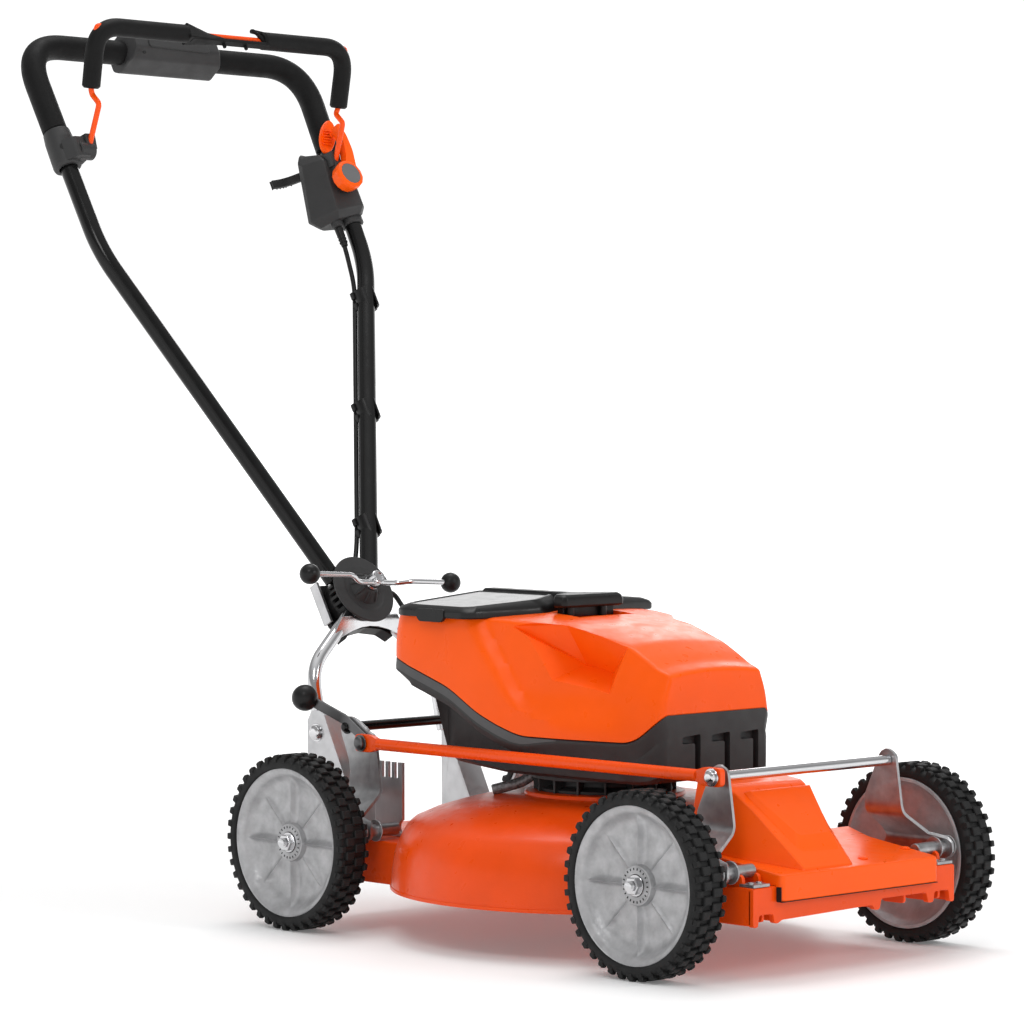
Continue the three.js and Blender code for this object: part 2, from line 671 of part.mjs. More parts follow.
// ---- Swivel hub, in the handle's own leaning frame: X across, Y to the rear, Z up the handle ----
const boltHole = rod("y", 6 + GAP, -40, 80, 0, 0);
function hubBase() {
  const core = rod("y", 29, 30, 44, 0, 0, 20);
  const neck = box(-24, 24, 30, 44, -50, -10);
  const plate = box(-34, 34, 45, 52, -32, 28);
  const web = box(-18, 18, 40, 48, -24, 24);
  const upright = geometryOf(yoke).translate(0, -HUB.y, -HUB.z);
  const yokeHere = solidOf(upright.rotateX(rad(HUB.lean)));
  return cut(join(core, neck, plate, web), yokeHere, boltHole);
}
place(hub, "hub_base", hubBase(), blackPlastic);

function hubPlate() {
  const disc = rod("y", HUB.discRadius, 1.5, 5.5, 0, 0, 32);
  const cone = spin("y", [[0, -12], [11, -12], [20, 2], [0, 2]], 20);
  return cut(join(disc, cone), boltHole);
}
place(handle, "hub_plate", hubPlate(), greyPlastic);

function clampLever() {
  const bolt = rod("y", 5, -24, 58, 0, 0, 12);
  const nut = rod("y", 9, 52.5, 59, 0, 0, 6);
  const collar = rod("y", 9, -30, -12.5, 0, 0, 14);
  const line = [
    vec(-104, -33, 4), vec(-44, -32, 2), vec(-32, -24, -4),
    vec(32, -24, -6), vec(46, -32, -8), vec(104, -33, -11),
  ];
  return join(bolt, nut, collar, tube(line, 3.5, { bend: 6, sides: 8, segments: 2 }));
}
const clampSolid = clampLever();
place(handle, "clamp_lever", clampSolid, chrome);
for (const [name, x, z] of [["right", -113, 4], ["left", 113, -11.5]]) {
  const ball = solidOf(new THREE.SphereGeometry(CLAMP_BALL, 12, 9).translate(x, -33, z));
  place(handle, `clamp_ball_${name}`, cut(ball, clampSolid), blackPlastic);
}

// ---- Handle ----
// Half width of the handle at a height above its kink.
const slant = (BEND.topX - BEND.kinkX) / (BEND.top - BEND.kink);
const tubeX = (z) => BEND.kinkX + slant * (z - BEND.kink);
const seamX = tubeX(TUBE.seam);
function sideTube(side, radius, top) {
  const line = [
    vec(side * TUBE.spread, TUBE.y, TUBE.start),
    vec(side * BEND.kinkX, TUBE.y, BEND.kink),
    vec(side * tubeX(top), TUBE.y, top),
  ];
  return tube(line, radius, { bend: 40, sides: 14 });
}
const tubeClear = (side) => sideTube(side, TUBE.radius + GAP, TUBE.seam + 20);
for (const [hand, side] of SIDES) {
  place(handle, `lower_tube_${hand}`, sideTube(side, TUBE.radius, TUBE.seam), blackPaint);
}

function handlebar() {
  const foot = TUBE.seam + GAP;
  const line = [
    vec(-seamX, TUBE.y, foot),
    vec(-BEND.topX, TUBE.y, BEND.top),
    vec(BEND.topX, TUBE.y, BEND.top),
    vec(seamX, TUBE.y, foot),
  ];
  return tube(line, GRIP_RADIUS, { bend: 88, sides: 14, segments: 6 });
}
place(handle, "handlebar", handlebar(), foam);

// Plain casing clipped round the middle of the grip, split along the bar's rear.
function consoleCasing() {
  const section = [[0, 774], [32, 770], [42, 780], [42, 804], [32, 816], [-2, 820], [-12, 810], [-12, 786]];
  const block = prism("x", section, -76, 76);
  const corners = [-1, 1].map((s) =>
    prism("z", [[s * 62, -30], [s * 90, -30], [s * 90, 20], [s * 76, 4]], 750, 830),
  );
  const bar = rod("x", GRIP_RADIUS + GAP, -90, 90, TUBE.y, BEND.top, 16);
  const split = box(-90, 90, TUBE.y, 60, BEND.top - 0.1, BEND.top + 0.1);
  return cut(block, ...corners, bar, split);
}
place(handle, "handle_console", consoleCasing(), greyPlastic);

// Clamp that joins the right-hand tubes and carries the bail's pivot.
function bailBracket() {
  const collar = rod("z", 18.5, 611, TUBE.seam - GAP, -seamX, TUBE.y, 16);
  const boss = rod("x", 12, -226, -BAIL.x - 6, BAIL.y, BAIL.z, 16);
  const web = box(-230, -214, BAIL.y, TUBE.y, BAIL.z - 11, BAIL.z + 11);
  const bore = rod("x", BAIL.radius + GAP, -222, -BAIL.x, BAIL.y, BAIL.z, 12);
  return cut(join(collar, boss, web), tubeClear(-1), bore);
}
place(handle, "bail_bracket", bailBracket(), greyPlastic);

function controlBox() {
  const plan = [[176, 8], [190, -10], [234, -13], [247, 0], [247, 32], [236, 42], [188, 45], [176, 32]];
  const body = prism("z", plan, 540, 656);
  const top = TUBE.seam - GAP;
  const side = [[-14, 636], [-14, 570], [8, 546], [30, 550], [46, 580], [46, 642], [25, top], [-5, top]];
  const slot = box(BAIL.x - 5, BAIL.x + 5, -20, 20, 606, 670);
  const bore = rod("x", BAIL.radius + GAP, 190, 226, BAIL.y, BAIL.z, 12);
  return cut(body.intersect(prism("x", side, 170, 260)), tubeClear(1), slot, bore);
}
place(handle, "control_box", controlBox(), greyPlastic);

// Finger lever on the control box: drum, arm and finger pad, measured from the drum's centre.
const START = { x: 208, y: -30, z: 602 };
function startLever() {
  const drum = rod("y", 14, START.y, -14.5, START.x, START.z, 18);
  const edge = [[4, 6], [14, 0], [17, 40], [10, 70], [3, 66], [9, 40]];
  const limb = prism("y", edge.map(([x, z]) => [START.x + x, START.z + z]), START.y, START.y + 9);
  const pad = new THREE.SphereGeometry(11, 12, 8).scale(0.8, 0.45, 1.3);
  return join(drum, limb, solidOf(pad.translate(START.x + 11, START.y + 6, START.z + 74)));
}
place(handle, "start_lever", startLever(), orangePlastic);

function thumbLever() {
  return prism("z", [[185, 48], [193, 48], [190, 57], [168, 71], [163, 65]], 630, 640);
}
place(handle, "thumb_lever", thumbLever(), blackPlastic);

// Cable down the left tube, with its strain relief and three clips.
function controlCable() {
  const spreadRate = (BEND.kinkX - TUBE.spread) / (BEND.kink - TUBE.start);
  const tubeAt = (s) => TUBE.spread + (s - TUBE.start) * spreadRate;
  const along = (s) => vec(tubeAt(s) - 11, TUBE.y + 11, s);
  const line = [vec(201, 22, 545), vec(201, 24, 512), along(460), along(80), vec(16, 27, 32)];
  const cable = tube(line, 3, { bend: 18, sides: 6, segments: 2 });
  const relief = rod("z", 5, 519, 545.5, 201, 23, 8);
  const clips = [97, 265, 434].map((s) => rod("z", 16, s - 13, s + 13, tubeAt(s), TUBE.y, 10));
  return cut(join(cable, relief, ...clips), tubeClear(1));
}
place(handle, "control_cable", controlCable(), blackPlastic);

// ---- Presence bail ----
const bailFoot = vec(206, -48, 690);
const bailCorner = vec(207, -97, 752);
const bailHalf = [
  vec(221, BAIL.y, BAIL.z),
  vec(BAIL.x, BAIL.y, BAIL.z),
  vec(203, -50, 666),
  vec(203, -43, 684),
  bailFoot,
  bailCorner,
];
const acrossX = (p) => vec(-p.x, p.y, p.z);
const bailPath = [...bailHalf.map(acrossX), ...[...bailHalf].reverse()];
const bailWire = (radius) => tube(bailPath, radius, { bend: 4, sides: 6, segments: 2 });
place(handle, "bail_rod", bailWire(BAIL.radius), orangeSteel);

function bailGrip(side) {
  const line = [bailFoot, bailCorner, vec(60, bailCorner.y, bailCorner.z)];
  const route = side < 0 ? line.map(acrossX) : line;
  const sleeve = tube(route, BAIL.gripRadius, { bend: 32, sides: 10, segments: 4 });
  return cut(sleeve, bailWire(BAIL.radius + GAP));
}
for (const [hand, side] of SIDES) {
  place(handle, `bail_grip_${hand}`, bailGrip(side), foam);
}

// ---- Cable from the hub to the housing ----
function motorCable() {
  const atHub = [vec(29.6, 36, 2), vec(80, 36, 14), vec(86, 33, -22)];
  const upright = atHub.map((p) => p.applyAxisAngle(vec(1, 0, 0), -rad(HUB.lean)));
  const start = upright.map((p) => p.add(vec(0, HUB.y, HUB.z)));
  const line = [...start, vec(60, 330, 352), vec(48, HOUSING.rear + 1, 350)];
  return tube(line, 3, { bend: 14, sides: 6, segments: 3 });
}
place(mower, "motor_cable", motorCable(), blackPlastic);

export default mower;
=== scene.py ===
"""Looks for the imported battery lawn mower.

Shapes are written in millimetres in two frames: DESIGN (middle of the wheelbase, +Z up, front
towards -Y) and HANDLE (the swivelling handle: X across, Y rearwards, Z up the handle). build()
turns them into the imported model's own frame in metres.
"""

import json
import math

import bmesh
import bpy
import numpy as np
from mathutils import Matrix, Vector

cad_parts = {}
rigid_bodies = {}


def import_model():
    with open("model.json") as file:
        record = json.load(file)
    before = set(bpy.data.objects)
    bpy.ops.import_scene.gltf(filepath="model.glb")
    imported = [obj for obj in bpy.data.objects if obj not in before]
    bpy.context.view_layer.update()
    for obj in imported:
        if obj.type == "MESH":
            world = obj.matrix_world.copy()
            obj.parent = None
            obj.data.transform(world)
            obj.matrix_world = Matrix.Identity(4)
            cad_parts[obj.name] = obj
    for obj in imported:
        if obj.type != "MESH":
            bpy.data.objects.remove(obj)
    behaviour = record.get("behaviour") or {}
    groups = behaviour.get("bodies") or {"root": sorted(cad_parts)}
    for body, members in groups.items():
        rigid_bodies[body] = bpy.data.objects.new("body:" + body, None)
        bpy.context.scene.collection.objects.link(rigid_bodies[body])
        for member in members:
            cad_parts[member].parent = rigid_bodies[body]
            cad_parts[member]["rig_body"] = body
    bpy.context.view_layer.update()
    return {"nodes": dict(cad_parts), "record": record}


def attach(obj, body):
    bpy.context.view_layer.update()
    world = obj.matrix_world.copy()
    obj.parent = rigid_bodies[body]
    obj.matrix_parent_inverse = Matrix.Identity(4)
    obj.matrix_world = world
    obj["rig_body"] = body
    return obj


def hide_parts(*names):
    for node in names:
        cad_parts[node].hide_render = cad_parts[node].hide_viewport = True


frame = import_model()
NODES = frame["nodes"]
SLOT = {part["node"]: part["material_slot"] for part in frame["record"]["subparts"]}

# ---- Frames and driving dimensions, as in the CAD ----
DESIGN = Matrix.Translation((-0.006, -0.226, 0)) @ Matrix.Scale(0.001, 4)
HUB = DESIGN @ Matrix.Translation((0, 418, 393)) @ Matrix.Rotation(math.radians(-30), 4, "X")
HANDLE = HUB @ Matrix.Rotation(math.radians(1.5), 4, "Y")
WHEELBASE = 576
AXLE_Y = WHEELBASE / 2
AXLE_Z = 105
DECK_Y = -3.5
TUBE_Y = 17.7  # the handle tubes, in the handle frame
SIDES = {"right": -1, "left": 1}


# ---- Shapes: (vertices, faces) ----
def shape(verts, faces):
    return np.array(verts, float), [tuple(face) for face in faces]


def merged(*parts):
    verts, faces, start = [], [], 0
    for part_verts, part_faces in parts:
        verts.append(part_verts)
        faces += [tuple(i + start for i in face) for face in part_faces]
        start += len(part_verts)
    return np.concatenate(verts), faces


def moved(part, x=0, y=0, z=0):
    return part[0] + np.array((x, y, z), float), part[1]


def mirrored(part, side=-1):
    """The part itself for side 1, and its mirror image across X for side -1."""
    if side > 0:
        return part
    return part[0] * np.array((-1, 1, 1)), [tuple(reversed(face)) for face in part[1]]


def turned(part, angle, axis, centre=(0, 0, 0)):
    spin = np.array(Matrix.Rotation(math.radians(angle), 3, axis))
    middle = np.array(centre, float)
    return (part[0] - middle) @ spin.T + middle, part[1]


def skin(rings, closed=True, caps=True):
    """Quads between equal rings of points."""
    count = len(rings[0])
    verts = [point for ring in rings for point in ring]
    faces = []
    for r in range(len(rings) - 1):
        for i in range(count if closed else count - 1):
            j = (i + 1) % count
            faces.append((r * count + i, r * count + j, (r + 1) * count + j, (r + 1) * count + i))
    if caps:
        faces.append(tuple(reversed(range(count))))
        faces.append(tuple(range((len(rings) - 1) * count, len(rings) * count)))
    return shape(verts, faces)


AXES = {
    "x": ((0, 1, 0), (0, 0, 1), (1, 0, 0)),
    "y": ((0, 0, 1), (1, 0, 0), (0, 1, 0)),
    "z": ((1, 0, 0), (0, 1, 0), (0, 0, 1)),
}


def lathe(profile, axis, centre=(0, 0, 0), sides=64, closed=True):
    """A profile of (radius, station) points spun round an axis; closed joins its ends."""
    u, v, w = (np.array(a, float) for a in AXES[axis])
    middle = np.array(centre, float)
    verts, faces = [], []
    count = len(profile)
    for k in range(sides):
        angle = 2 * math.pi * k / sides
        out = math.cos(angle) * u + math.sin(angle) * v
        verts += [middle + r * out + h * w for r, h in profile]
        following = (k + 1) % sides
        for i in range(count if closed else count - 1):
            j = (i + 1) % count
            faces.append((k * count + i, k * count + j, following * count + j, following * count + i))
    return shape(verts, faces)


def turning(profile, bend, axis, centre=(0, 0, 0), sides=40, steps=2):
    """A ring turned from a closed profile with rounded corners."""
    return lathe(fillet(profile, bend, steps), axis, centre, sides)


def across(side, near, far):
    """An X range on one side, lowest value first."""
    return sorted((side * near, side * far))


def disc(radius, start, end, axis, centre=(0, 0, 0), sides=32, edge=0.6):
    """A solid round bar with softened ends."""
    profile = [(0, start), (radius - edge, start), (radius, start + edge)]
    profile += [(radius, end - edge), (radius - edge, end), (0, end)]
    return lathe(profile, axis, centre, sides, closed=False)


def hexagon(radius, start, end, axis, centre=(0, 0, 0)):
    """A nut or bolt head with chamfered corners."""
    nut = lathe([(0, start), (radius, start), (radius, end - 1), (radius - 1, end), (0, end)],
                axis, centre, 6, closed=False)
    return softened(nut, 0.35)


def fillet(points, radius, steps=4, closed=True):
    """Rounds the corners of an outline or an open line; radius may be one number or one each."""
    out = []
    count = len(points)
    for i, corner in enumerate(points):
        corner = np.array(corner, float)
        if not closed and i in (0, count - 1):
            out.append(corner)
            continue
        before = np.array(points[i - 1], float) - corner
        after = np.array(points[(i + 1) % count], float) - corner
        reach = radius[i] if isinstance(radius, (list, tuple)) else radius
        reach = min(reach, 0.48 * np.linalg.norm(before), 0.48 * np.linalg.norm(after))
        start = corner + before / np.linalg.norm(before) * reach
        end = corner + after / np.linalg.norm(after) * reach
        if reach < 0.05:
            out.append(corner)
            continue
        for k in range(steps + 1):
            t = k / steps
            out.append((1 - t) ** 2 * start + 2 * t * (1 - t) * corner + t * t * end)
    return out


def extrude(outline, axis, start, end, soft=0.0, segments=2):
    """An outline of (a, b) points pushed along an axis: x takes (y, z), y (x, z), z (x, y)."""
    spots = {
        "x": lambda p, h: (h, p[0], p[1]),
        "y": lambda p, h: (p[0], h, p[1]),
        "z": lambda p, h: (p[0], p[1], h),
    }[axis]
    part = skin([[spots(p, h) for p in outline] for h in (start, end)])
    return softened(part, soft, segments) if soft else part


def block(x0, x1, y0, y1, z0, z1, soft=1.0, segments=2):
    return extrude([(x0, y0), (x1, y0), (x1, y1), (x0, y1)], "z", z0, z1, soft, segments)


def sweep(points, radius, bend=20, sides=24, steps=8, end=1.0):
    """A round bar along a bent line, with softened ends."""
    path = [np.array(p, float) for p in fillet(points, bend, steps, closed=False)]
    tangents = []
    for i in range(len(path)):
        ahead = path[min(i + 1, len(path) - 1)] - path[max(i - 1, 0)]
        tangents.append(ahead / np.linalg.norm(ahead))
    side = np.cross(tangents[0], (0, 0, 1) if abs(tangents[0][2]) < 0.9 else (0, 1, 0))
    side /= np.linalg.norm(side)
    stations = []
    for point, tangent in zip(path, tangents):
        side = side - tangent * (side @ tangent)
        side /= np.linalg.norm(side)
        stations.append((point, tangent, side))
    first, last = stations[0], stations[-1]
    trimmed = [(first[0] + first[1] * end,) + first[1:]] + stations[1:-1]
    trimmed.append((last[0] - last[1] * end,) + last[1:])
    sections = [(first, radius - end)] + [(s, radius) for s in trimmed] + [(last, radius - end)]
    rings = []
    for (point, tangent, side), size in sections:
        up = np.cross(tangent, side)
        angles = [2 * math.pi * k / sides for k in range(sides)]
        rings.append([point + size * (math.cos(a) * side + math.sin(a) * up) for a in angles])
    return skin(rings)


def ball(centre, radius, steps=20):
    angles = [math.pi * k / steps for k in range(steps + 1)]
    profile = [(radius * math.sin(a), -radius * math.cos(a)) for a in angles]
    return lathe(profile, "z", centre, 40, closed=False)


# ---- Mesh work ----
def mesh_of(part, matrix=None):
    mesh = bpy.data.meshes.new("piece")
    points = [tuple(matrix @ Vector(v)) if matrix else tuple(v) for v in part[0]]
    mesh.from_pydata(points, [], part[1])
    work = bmesh.new()
    work.from_mesh(mesh)
    bmesh.ops.remove_doubles(work, verts=work.verts, dist=1e-7 if matrix else 1e-4)
    bmesh.ops.dissolve_degenerate(work, edges=work.edges, dist=1e-8 if matrix else 1e-5)
    bmesh.ops.recalc_face_normals(work, faces=work.faces)
    work.to_mesh(mesh)
    work.free()
    return mesh


def part_of(mesh):
    verts = np.array([v.co for v in mesh.vertices], float)
    return verts, [tuple(polygon.vertices) for polygon in mesh.polygons]


def softened(part, width, segments=2, angle=25):
    """The part with every edge sharper than the angle bevelled."""
    mesh = mesh_of(part)
    work = bmesh.new()
    work.from_mesh(mesh)
    sharp = [e for e in work.edges if e.is_manifold and e.calc_face_angle(0) > math.radians(angle)]
    bmesh.ops.bevel(work, geom=sharp, offset=width, offset_type="OFFSET", segments=segments,
                    profile=0.5, affect="EDGES", clamp_overlap=True)
    work.to_mesh(mesh)
    work.free()
    result = part_of(mesh)
    bpy.data.meshes.remove(mesh)
    return result


def boolean(part, tools):
    """Cuts the tools from the part."""
    base = bpy.data.objects.new("base", mesh_of(part))
    bpy.context.scene.collection.objects.link(base)
    helpers = []
    for tool in tools:
        helper = bpy.data.objects.new("tool", mesh_of(tool))
        bpy.context.scene.collection.objects.link(helper)
        step = base.modifiers.new("cut", "BOOLEAN")
        step.operation = "DIFFERENCE"
        step.solver = "EXACT"
        step.use_self = True
        step.object = helper
        helpers.append(helper)
    bpy.context.view_layer.update()
    done = base.evaluated_get(bpy.context.evaluated_depsgraph_get())
    result = part_of(done.to_mesh())
    if not len(result[0]):
        raise ValueError("a boolean came out empty")
    done.to_mesh_clear()
    for item in [base] + helpers:
        mesh = item.data
        bpy.data.objects.remove(item)
        bpy.data.meshes.remove(mesh)
    return result


def build(name, nodes, *parts, where=DESIGN, look=None, crease=38, slot=None, body=None):
    """Makes a visible piece that stands for CAD nodes, on their body and in their finish."""
    mesh = mesh_of(merged(*parts), where)
    mesh.name = name
    item = bpy.data.objects.new(name, mesh)
    bpy.context.scene.collection.objects.link(item)
    slot = slot or SLOT[nodes[0]]
    mesh.materials.append(look or LOOKS[slot])
    mesh.shade_smooth()
    mesh.set_sharp_from_angle(angle=math.radians(crease))
    smoother = item.modifiers.new("normals", "WEIGHTED_NORMAL")
    smoother.keep_sharp = True
    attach(item, body or NODES[nodes[0]]["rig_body"])
    if nodes:
        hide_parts(*nodes)


# ---- Materials ----
def fill(node, values):
    for socket, value in values.items():
        node.inputs[socket].default_value = value


def look(name, colour, rough, metal=0.0, shade=0.06, blotch=18, grain=900, bump=0.08,
         depth=0.0003, rough_span=0.08, coat=0.0, sheen=0.0, specular=0.35):
    """Base colour with soft variation, roughness that wanders and a fine grain in the bump."""
    material = bpy.data.materials.new(name)
    material.use_nodes = True
    nodes, links = material.node_tree.nodes, material.node_tree.links
    shader = nodes["Principled BSDF"]
    fill(shader, {"Metallic": metal, "Coat Weight": coat, "Coat Roughness": 0.12, "Sheen Weight": sheen,
                  "Specular IOR Level": specular})
    place = nodes.new("ShaderNodeTexCoord")

    def noise(scale, detail=4.0):
        node = nodes.new("ShaderNodeTexNoise")
        fill(node, {"Scale": scale, "Detail": detail})
        links.new(place.outputs["Object"], node.inputs["Vector"])
        return node.outputs["Fac"]

    def spread(value, low, high):
        """Stretches the middle of a noise over a range."""
        node = nodes.new("ShaderNodeMapRange")
        fill(node, {"From Min": 0.3, "From Max": 0.7, "To Min": low, "To Max": high})
        links.new(value, node.inputs["Value"])
        return node.outputs["Result"]

    blend = nodes.new("ShaderNodeMix")
    blend.data_type = "RGBA"
    dark = [c * (1 - shade) for c in colour]
    light = [min(1.0, c * (1 + shade)) for c in colour]
    fill(blend, {"A": (*dark, 1), "B": (*light, 1)})
    links.new(spread(noise(blotch), 0, 1), blend.inputs["Factor"])
    links.new(blend.outputs["Result"], shader.inputs["Base Color"])
    wander = spread(noise(blotch * 3.7, 6), max(0.03, rough - rough_span), rough + rough_span)
    links.new(wander, shader.inputs["Roughness"])
    normal = nodes.new("ShaderNodeBump")
    fill(normal, {"Strength": bump, "Distance": depth})
    links.new(noise(grain, 3), normal.inputs["Height"])
    links.new(normal.outputs["Normal"], shader.inputs["Normal"])
    return material


def grey(value):
    return (value, value, value * 1.02)


LOOKS = {
    "orange_paint": look("orange_paint", (0.80, 0.068, 0.001), 0.34, shade=0.05, grain=420, bump=0.28,
                         depth=0.0005, coat=0.08, specular=0.22),
    "orange_plastic": look("orange_plastic", (0.93, 0.098, 0.001), 0.34, shade=0.03, grain=650, bump=0.05,
                           specular=0.2),
    "orange_steel": look("orange_steel", (0.86, 0.075, 0.001), 0.3, shade=0.04, bump=0.05, coat=0.08,
                         specular=0.22),
    "grey_plastic": look("grey_plastic", grey(0.027), 0.5, shade=0.12, grain=1500, bump=0.3),
    "black_plastic": look("black_plastic", grey(0.010), 0.34, shade=0.12, grain=1300, bump=0.12,
                          specular=0.22),
    "black_paint": look("black_paint", grey(0.004), 0.2, shade=0.1, grain=1100, bump=0.05, coat=0.12,
                        specular=0.2),
    "grip": look("grip", grey(0.006), 0.55, shade=0.15, grain=1700, bump=0.4, sheen=0.01, specular=0.13),
    "tyre": look("tyre", grey(0.010), 0.6, shade=0.25, blotch=30, bump=0.25, specular=0.25),
    "chrome": look("chrome", grey(0.60), 0.12, metal=1, shade=0.04, grain=500, bump=0.02, rough_span=0.05),
    "zinc": look("zinc", grey(0.36), 0.36, metal=0.9, shade=0.2, blotch=60, grain=700, bump=0.12),
    "alloy": look("alloy", grey(0.52), 0.36, metal=0.9, shade=0.1, blotch=40, grain=600, bump=0.1),
    "cast_alloy": look("cast_alloy", grey(0.42), 0.5, metal=0.6, shade=0.16, blotch=60, grain=380, bump=0.35,
                       depth=0.0007, rough_span=0.12),
    "dark_steel": look("dark_steel", grey(0.12), 0.36, metal=0.9, shade=0.15, grain=600),
    "braid": look("braid", grey(0.2), 0.45, metal=0.5, shade=0.5, blotch=300, grain=500, bump=0.6),
}
# Painted highlight: a lighter copy of the grey plastic for the lip under the motor cover's seam, where it
# catches the light.
LIP_HIGHLIGHT = look("lip_highlight_grey", grey(0.075), 0.5, grain=1500, bump=0.2)
INSERT = look("insert_grey", grey(0.12), 0.5, shade=0.05, grain=1500, bump=0.15)
GLOSS = look("gloss_black", grey(0.012), 0.14, shade=0.1, bump=0.03, rough_span=0.05, coat=0.5, specular=0.6)
# Painted shade: a near-black look for thin pieces laid where gaps and holes show dark.
PAINTED_SHADE_BLACK = look("painted_gap_shade", grey(0.005), 0.7, shade=0.1)


# ---- Wheels ----
LUGS = 40
TREAD_ROWS = [  # station from, station to, share of the pitch, offset in pitches
    (240.5, 247.6, 0.50, 0.0),
    (227.0, 239.6, 0.66, 0.5),
    (212.5, 226.0, 0.66, 0.0),
    (203.6, 211.0, 0.50, 0.5),
]


def round_wheel(station, radius, angle):
    """A point of the wheel, from its station along the axle."""
    return station, radius * math.cos(angle), radius * math.sin(angle)


def lug(start, end, middle, half):
    """One chamfered tread block; the shoulder rows roll over onto the sidewall."""
    rings = []
    for radius, inset in ((99.0, 0.0), (103.9, 0.5), (104.9, 1.5)):
        shrink = inset / radius
        low, high = middle - half + shrink, middle + half - shrink
        turn = [min(max(middle - half + 2 * half * i / 4, low), high) for i in range(5)]
        rings.append([[start + inset, radius, a] for a in turn]
                     + [[end - inset, radius, a] for a in reversed(turn)])
    if end - start < 9:
        outer_edge = range(5) if start < 210 else range(5, 10)
        for ring, drop in zip(rings, (3.5, 1.2, 0.6)):
            for i in outer_edge:
                ring[i][1] -= drop
    return skin([[round_wheel(*spot) for spot in ring] for ring in rings])


def tyre():
    body = [(88.4, 204.5), (90, 203.4), (95, 203.2), (98.5, 204.5), (100.6, 208), (100.9, 225.5)]
    body += [(100.6, 243), (98.5, 246.7), (95, 248), (90, 247.8), (88.4, 246.6)]
    parts = [turning(body, 1.5, "x", sides=160)]
    pitch = 2 * math.pi / LUGS
    for start, end, share, offset in TREAD_ROWS:
        parts += [lug(start, end, (k + offset) * pitch, pitch * share / 2) for k in range(LUGS)]
    for k in range(LUGS):  # narrow ties between the two middle rows
        middle = (k + 0.25) * pitch
        corners = ((223, -0.012), (229.5, -0.012), (229.5, 0.012), (223, 0.012))
        parts.append(skin([[round_wheel(a, r, middle + d) for a, d in corners] for r in (99.5, 103.2)]))
    for k in range(LUGS):  # small buttons on the sidewall below the shoulder
        rings = []
        for station, foot in ((247.0, 95.0), (248.2, 95.4)):
            corners = ((foot, -0.028), (99.0, -0.028), (99.0, 0.028), (foot, 0.028))
            rings.append([round_wheel(station, r, k * pitch + d) for r, d in corners])
        parts.append(skin(rings))
    return merged(*parts)


RIM_DISH = [  # radius, outward station of the cast face
    (12.5, 238.6), (21.3, 238.6), (22.4, 237.6), (23.2, 231), (26, 229.2), (34, 228.4), (48, 228.0),
    (62, 228.2), (68, 229.2), (73, 231.8), (77, 236.2), (80, 240.6), (83, 242.8), (86, 243.6),
    (87.4, 244.4), (88, 245.2),
]


def rim():
    """Cast disc: dished sectors between eight ribs that flare into the lip."""
    offsets = [0, 0.010, 0.022, 0.040, 0.065, 0.10, 0.15, 0.21, 0.28, 0.34]
    sector = math.pi / 4
    angles = []
    for k in range(8):
        strong = 1.0 if k % 2 == 0 else 0.45
        for d in offsets:
            angles.append((k * sector + d, d, strong))
        for d in reversed(offsets[1:]):
            angles.append(((k + 1) * sector - d, -d, 1.0 if k % 2 else 0.45))
    radii = sorted({r for r, _ in RIM_DISH} | {29, 41, 55, 65, 70.5, 75, 78.5, 81.5})
    known_r = [r for r, _ in RIM_DISH]
    known_a = [a for _, a in RIM_DISH]
    rings = []
    for angle, d, strong in angles:
        line = []
        for radius in radii:
            face = float(np.interp(radius, known_r, known_a))
            if 22.4 < radius < 86.5:
                across = abs(math.sin(d)) * radius
                flare = 1.0 + 3.0 * max(0.0, (radius - 62) / 24) ** 2
                height = strong * (8.6 - 0.5 * (radius - 24) / 62)
                crest = 228 + height - (across / flare) * 1.9 * strong
                gap = face - crest
                soft = 1.2
                face = (face + crest + math.sqrt(gap * gap + soft * soft)) / 2 - soft * 0.18
                face = min(face, 243.6)
            line.append((face, radius * math.cos(angle), radius * math.sin(angle)))
        back = [(204.2, 88), (203.4, 87), (203.4, 84), (207, 82), (213, 77), (219, 62), (221, 24),
                (208, 22), (205, 21), (205, 12.5)]
        line += [(a, r * math.cos(angle), r * math.sin(angle)) for a, r in back]
        rings.append(line)
    rings.append(rings[0])
    return skin(rings, closed=True, caps=False)


def wheel_axle():
    thread = []
    for k in range(7):
        thread += [(4.9, 246.6 + k * 0.75), (5.5, 246.95 + k * 0.75)]
    stud = lathe([(0, 187)] + [(8, 187), (8, 244)] + thread + [(4.6, 252), (0, 252)], "x", sides=32,
                 closed=False)
    nut = hexagon(10.6, 240.2, 246.8, "x")
    washer = disc(12.0, 239.0, 240.4, "x", edge=0.3)
    collar = lathe(fillet([(8, 191), (13, 191), (13, 194), (11, 195), (11, 198), (8, 198)], 0.6, 2), "x",
                   sides=40)
    sleeve = lathe(fillet([(8, 198), (10, 198), (10, 204.5), (8, 204.5)], 0.5, 2), "x", sides=40)
    return merged(stud, nut, washer, collar, sleeve)


def hub_ring():
    """Pressed ring round the bearing; its circle of small slots is painted shade on separate pads."""
    ring = lathe(fillet([(12.6, 238.2), (20.6, 238.2), (20.6, 239.3), (12.6, 239.3)], 0.4, 2), "x", sides=60)
    return ring


# Painted shade: thin near-black pads standing on the ring where its small slots show dark.
def hub_slot_shade_pads():
    slots = []
    for k in range(22):
        slot = block(239.1, 239.5, 16.9, 19.6, -0.8, 0.8, soft=0.15)
        slots.append(turned(slot, 360 * k / 22, "X"))
    return merged(*slots)


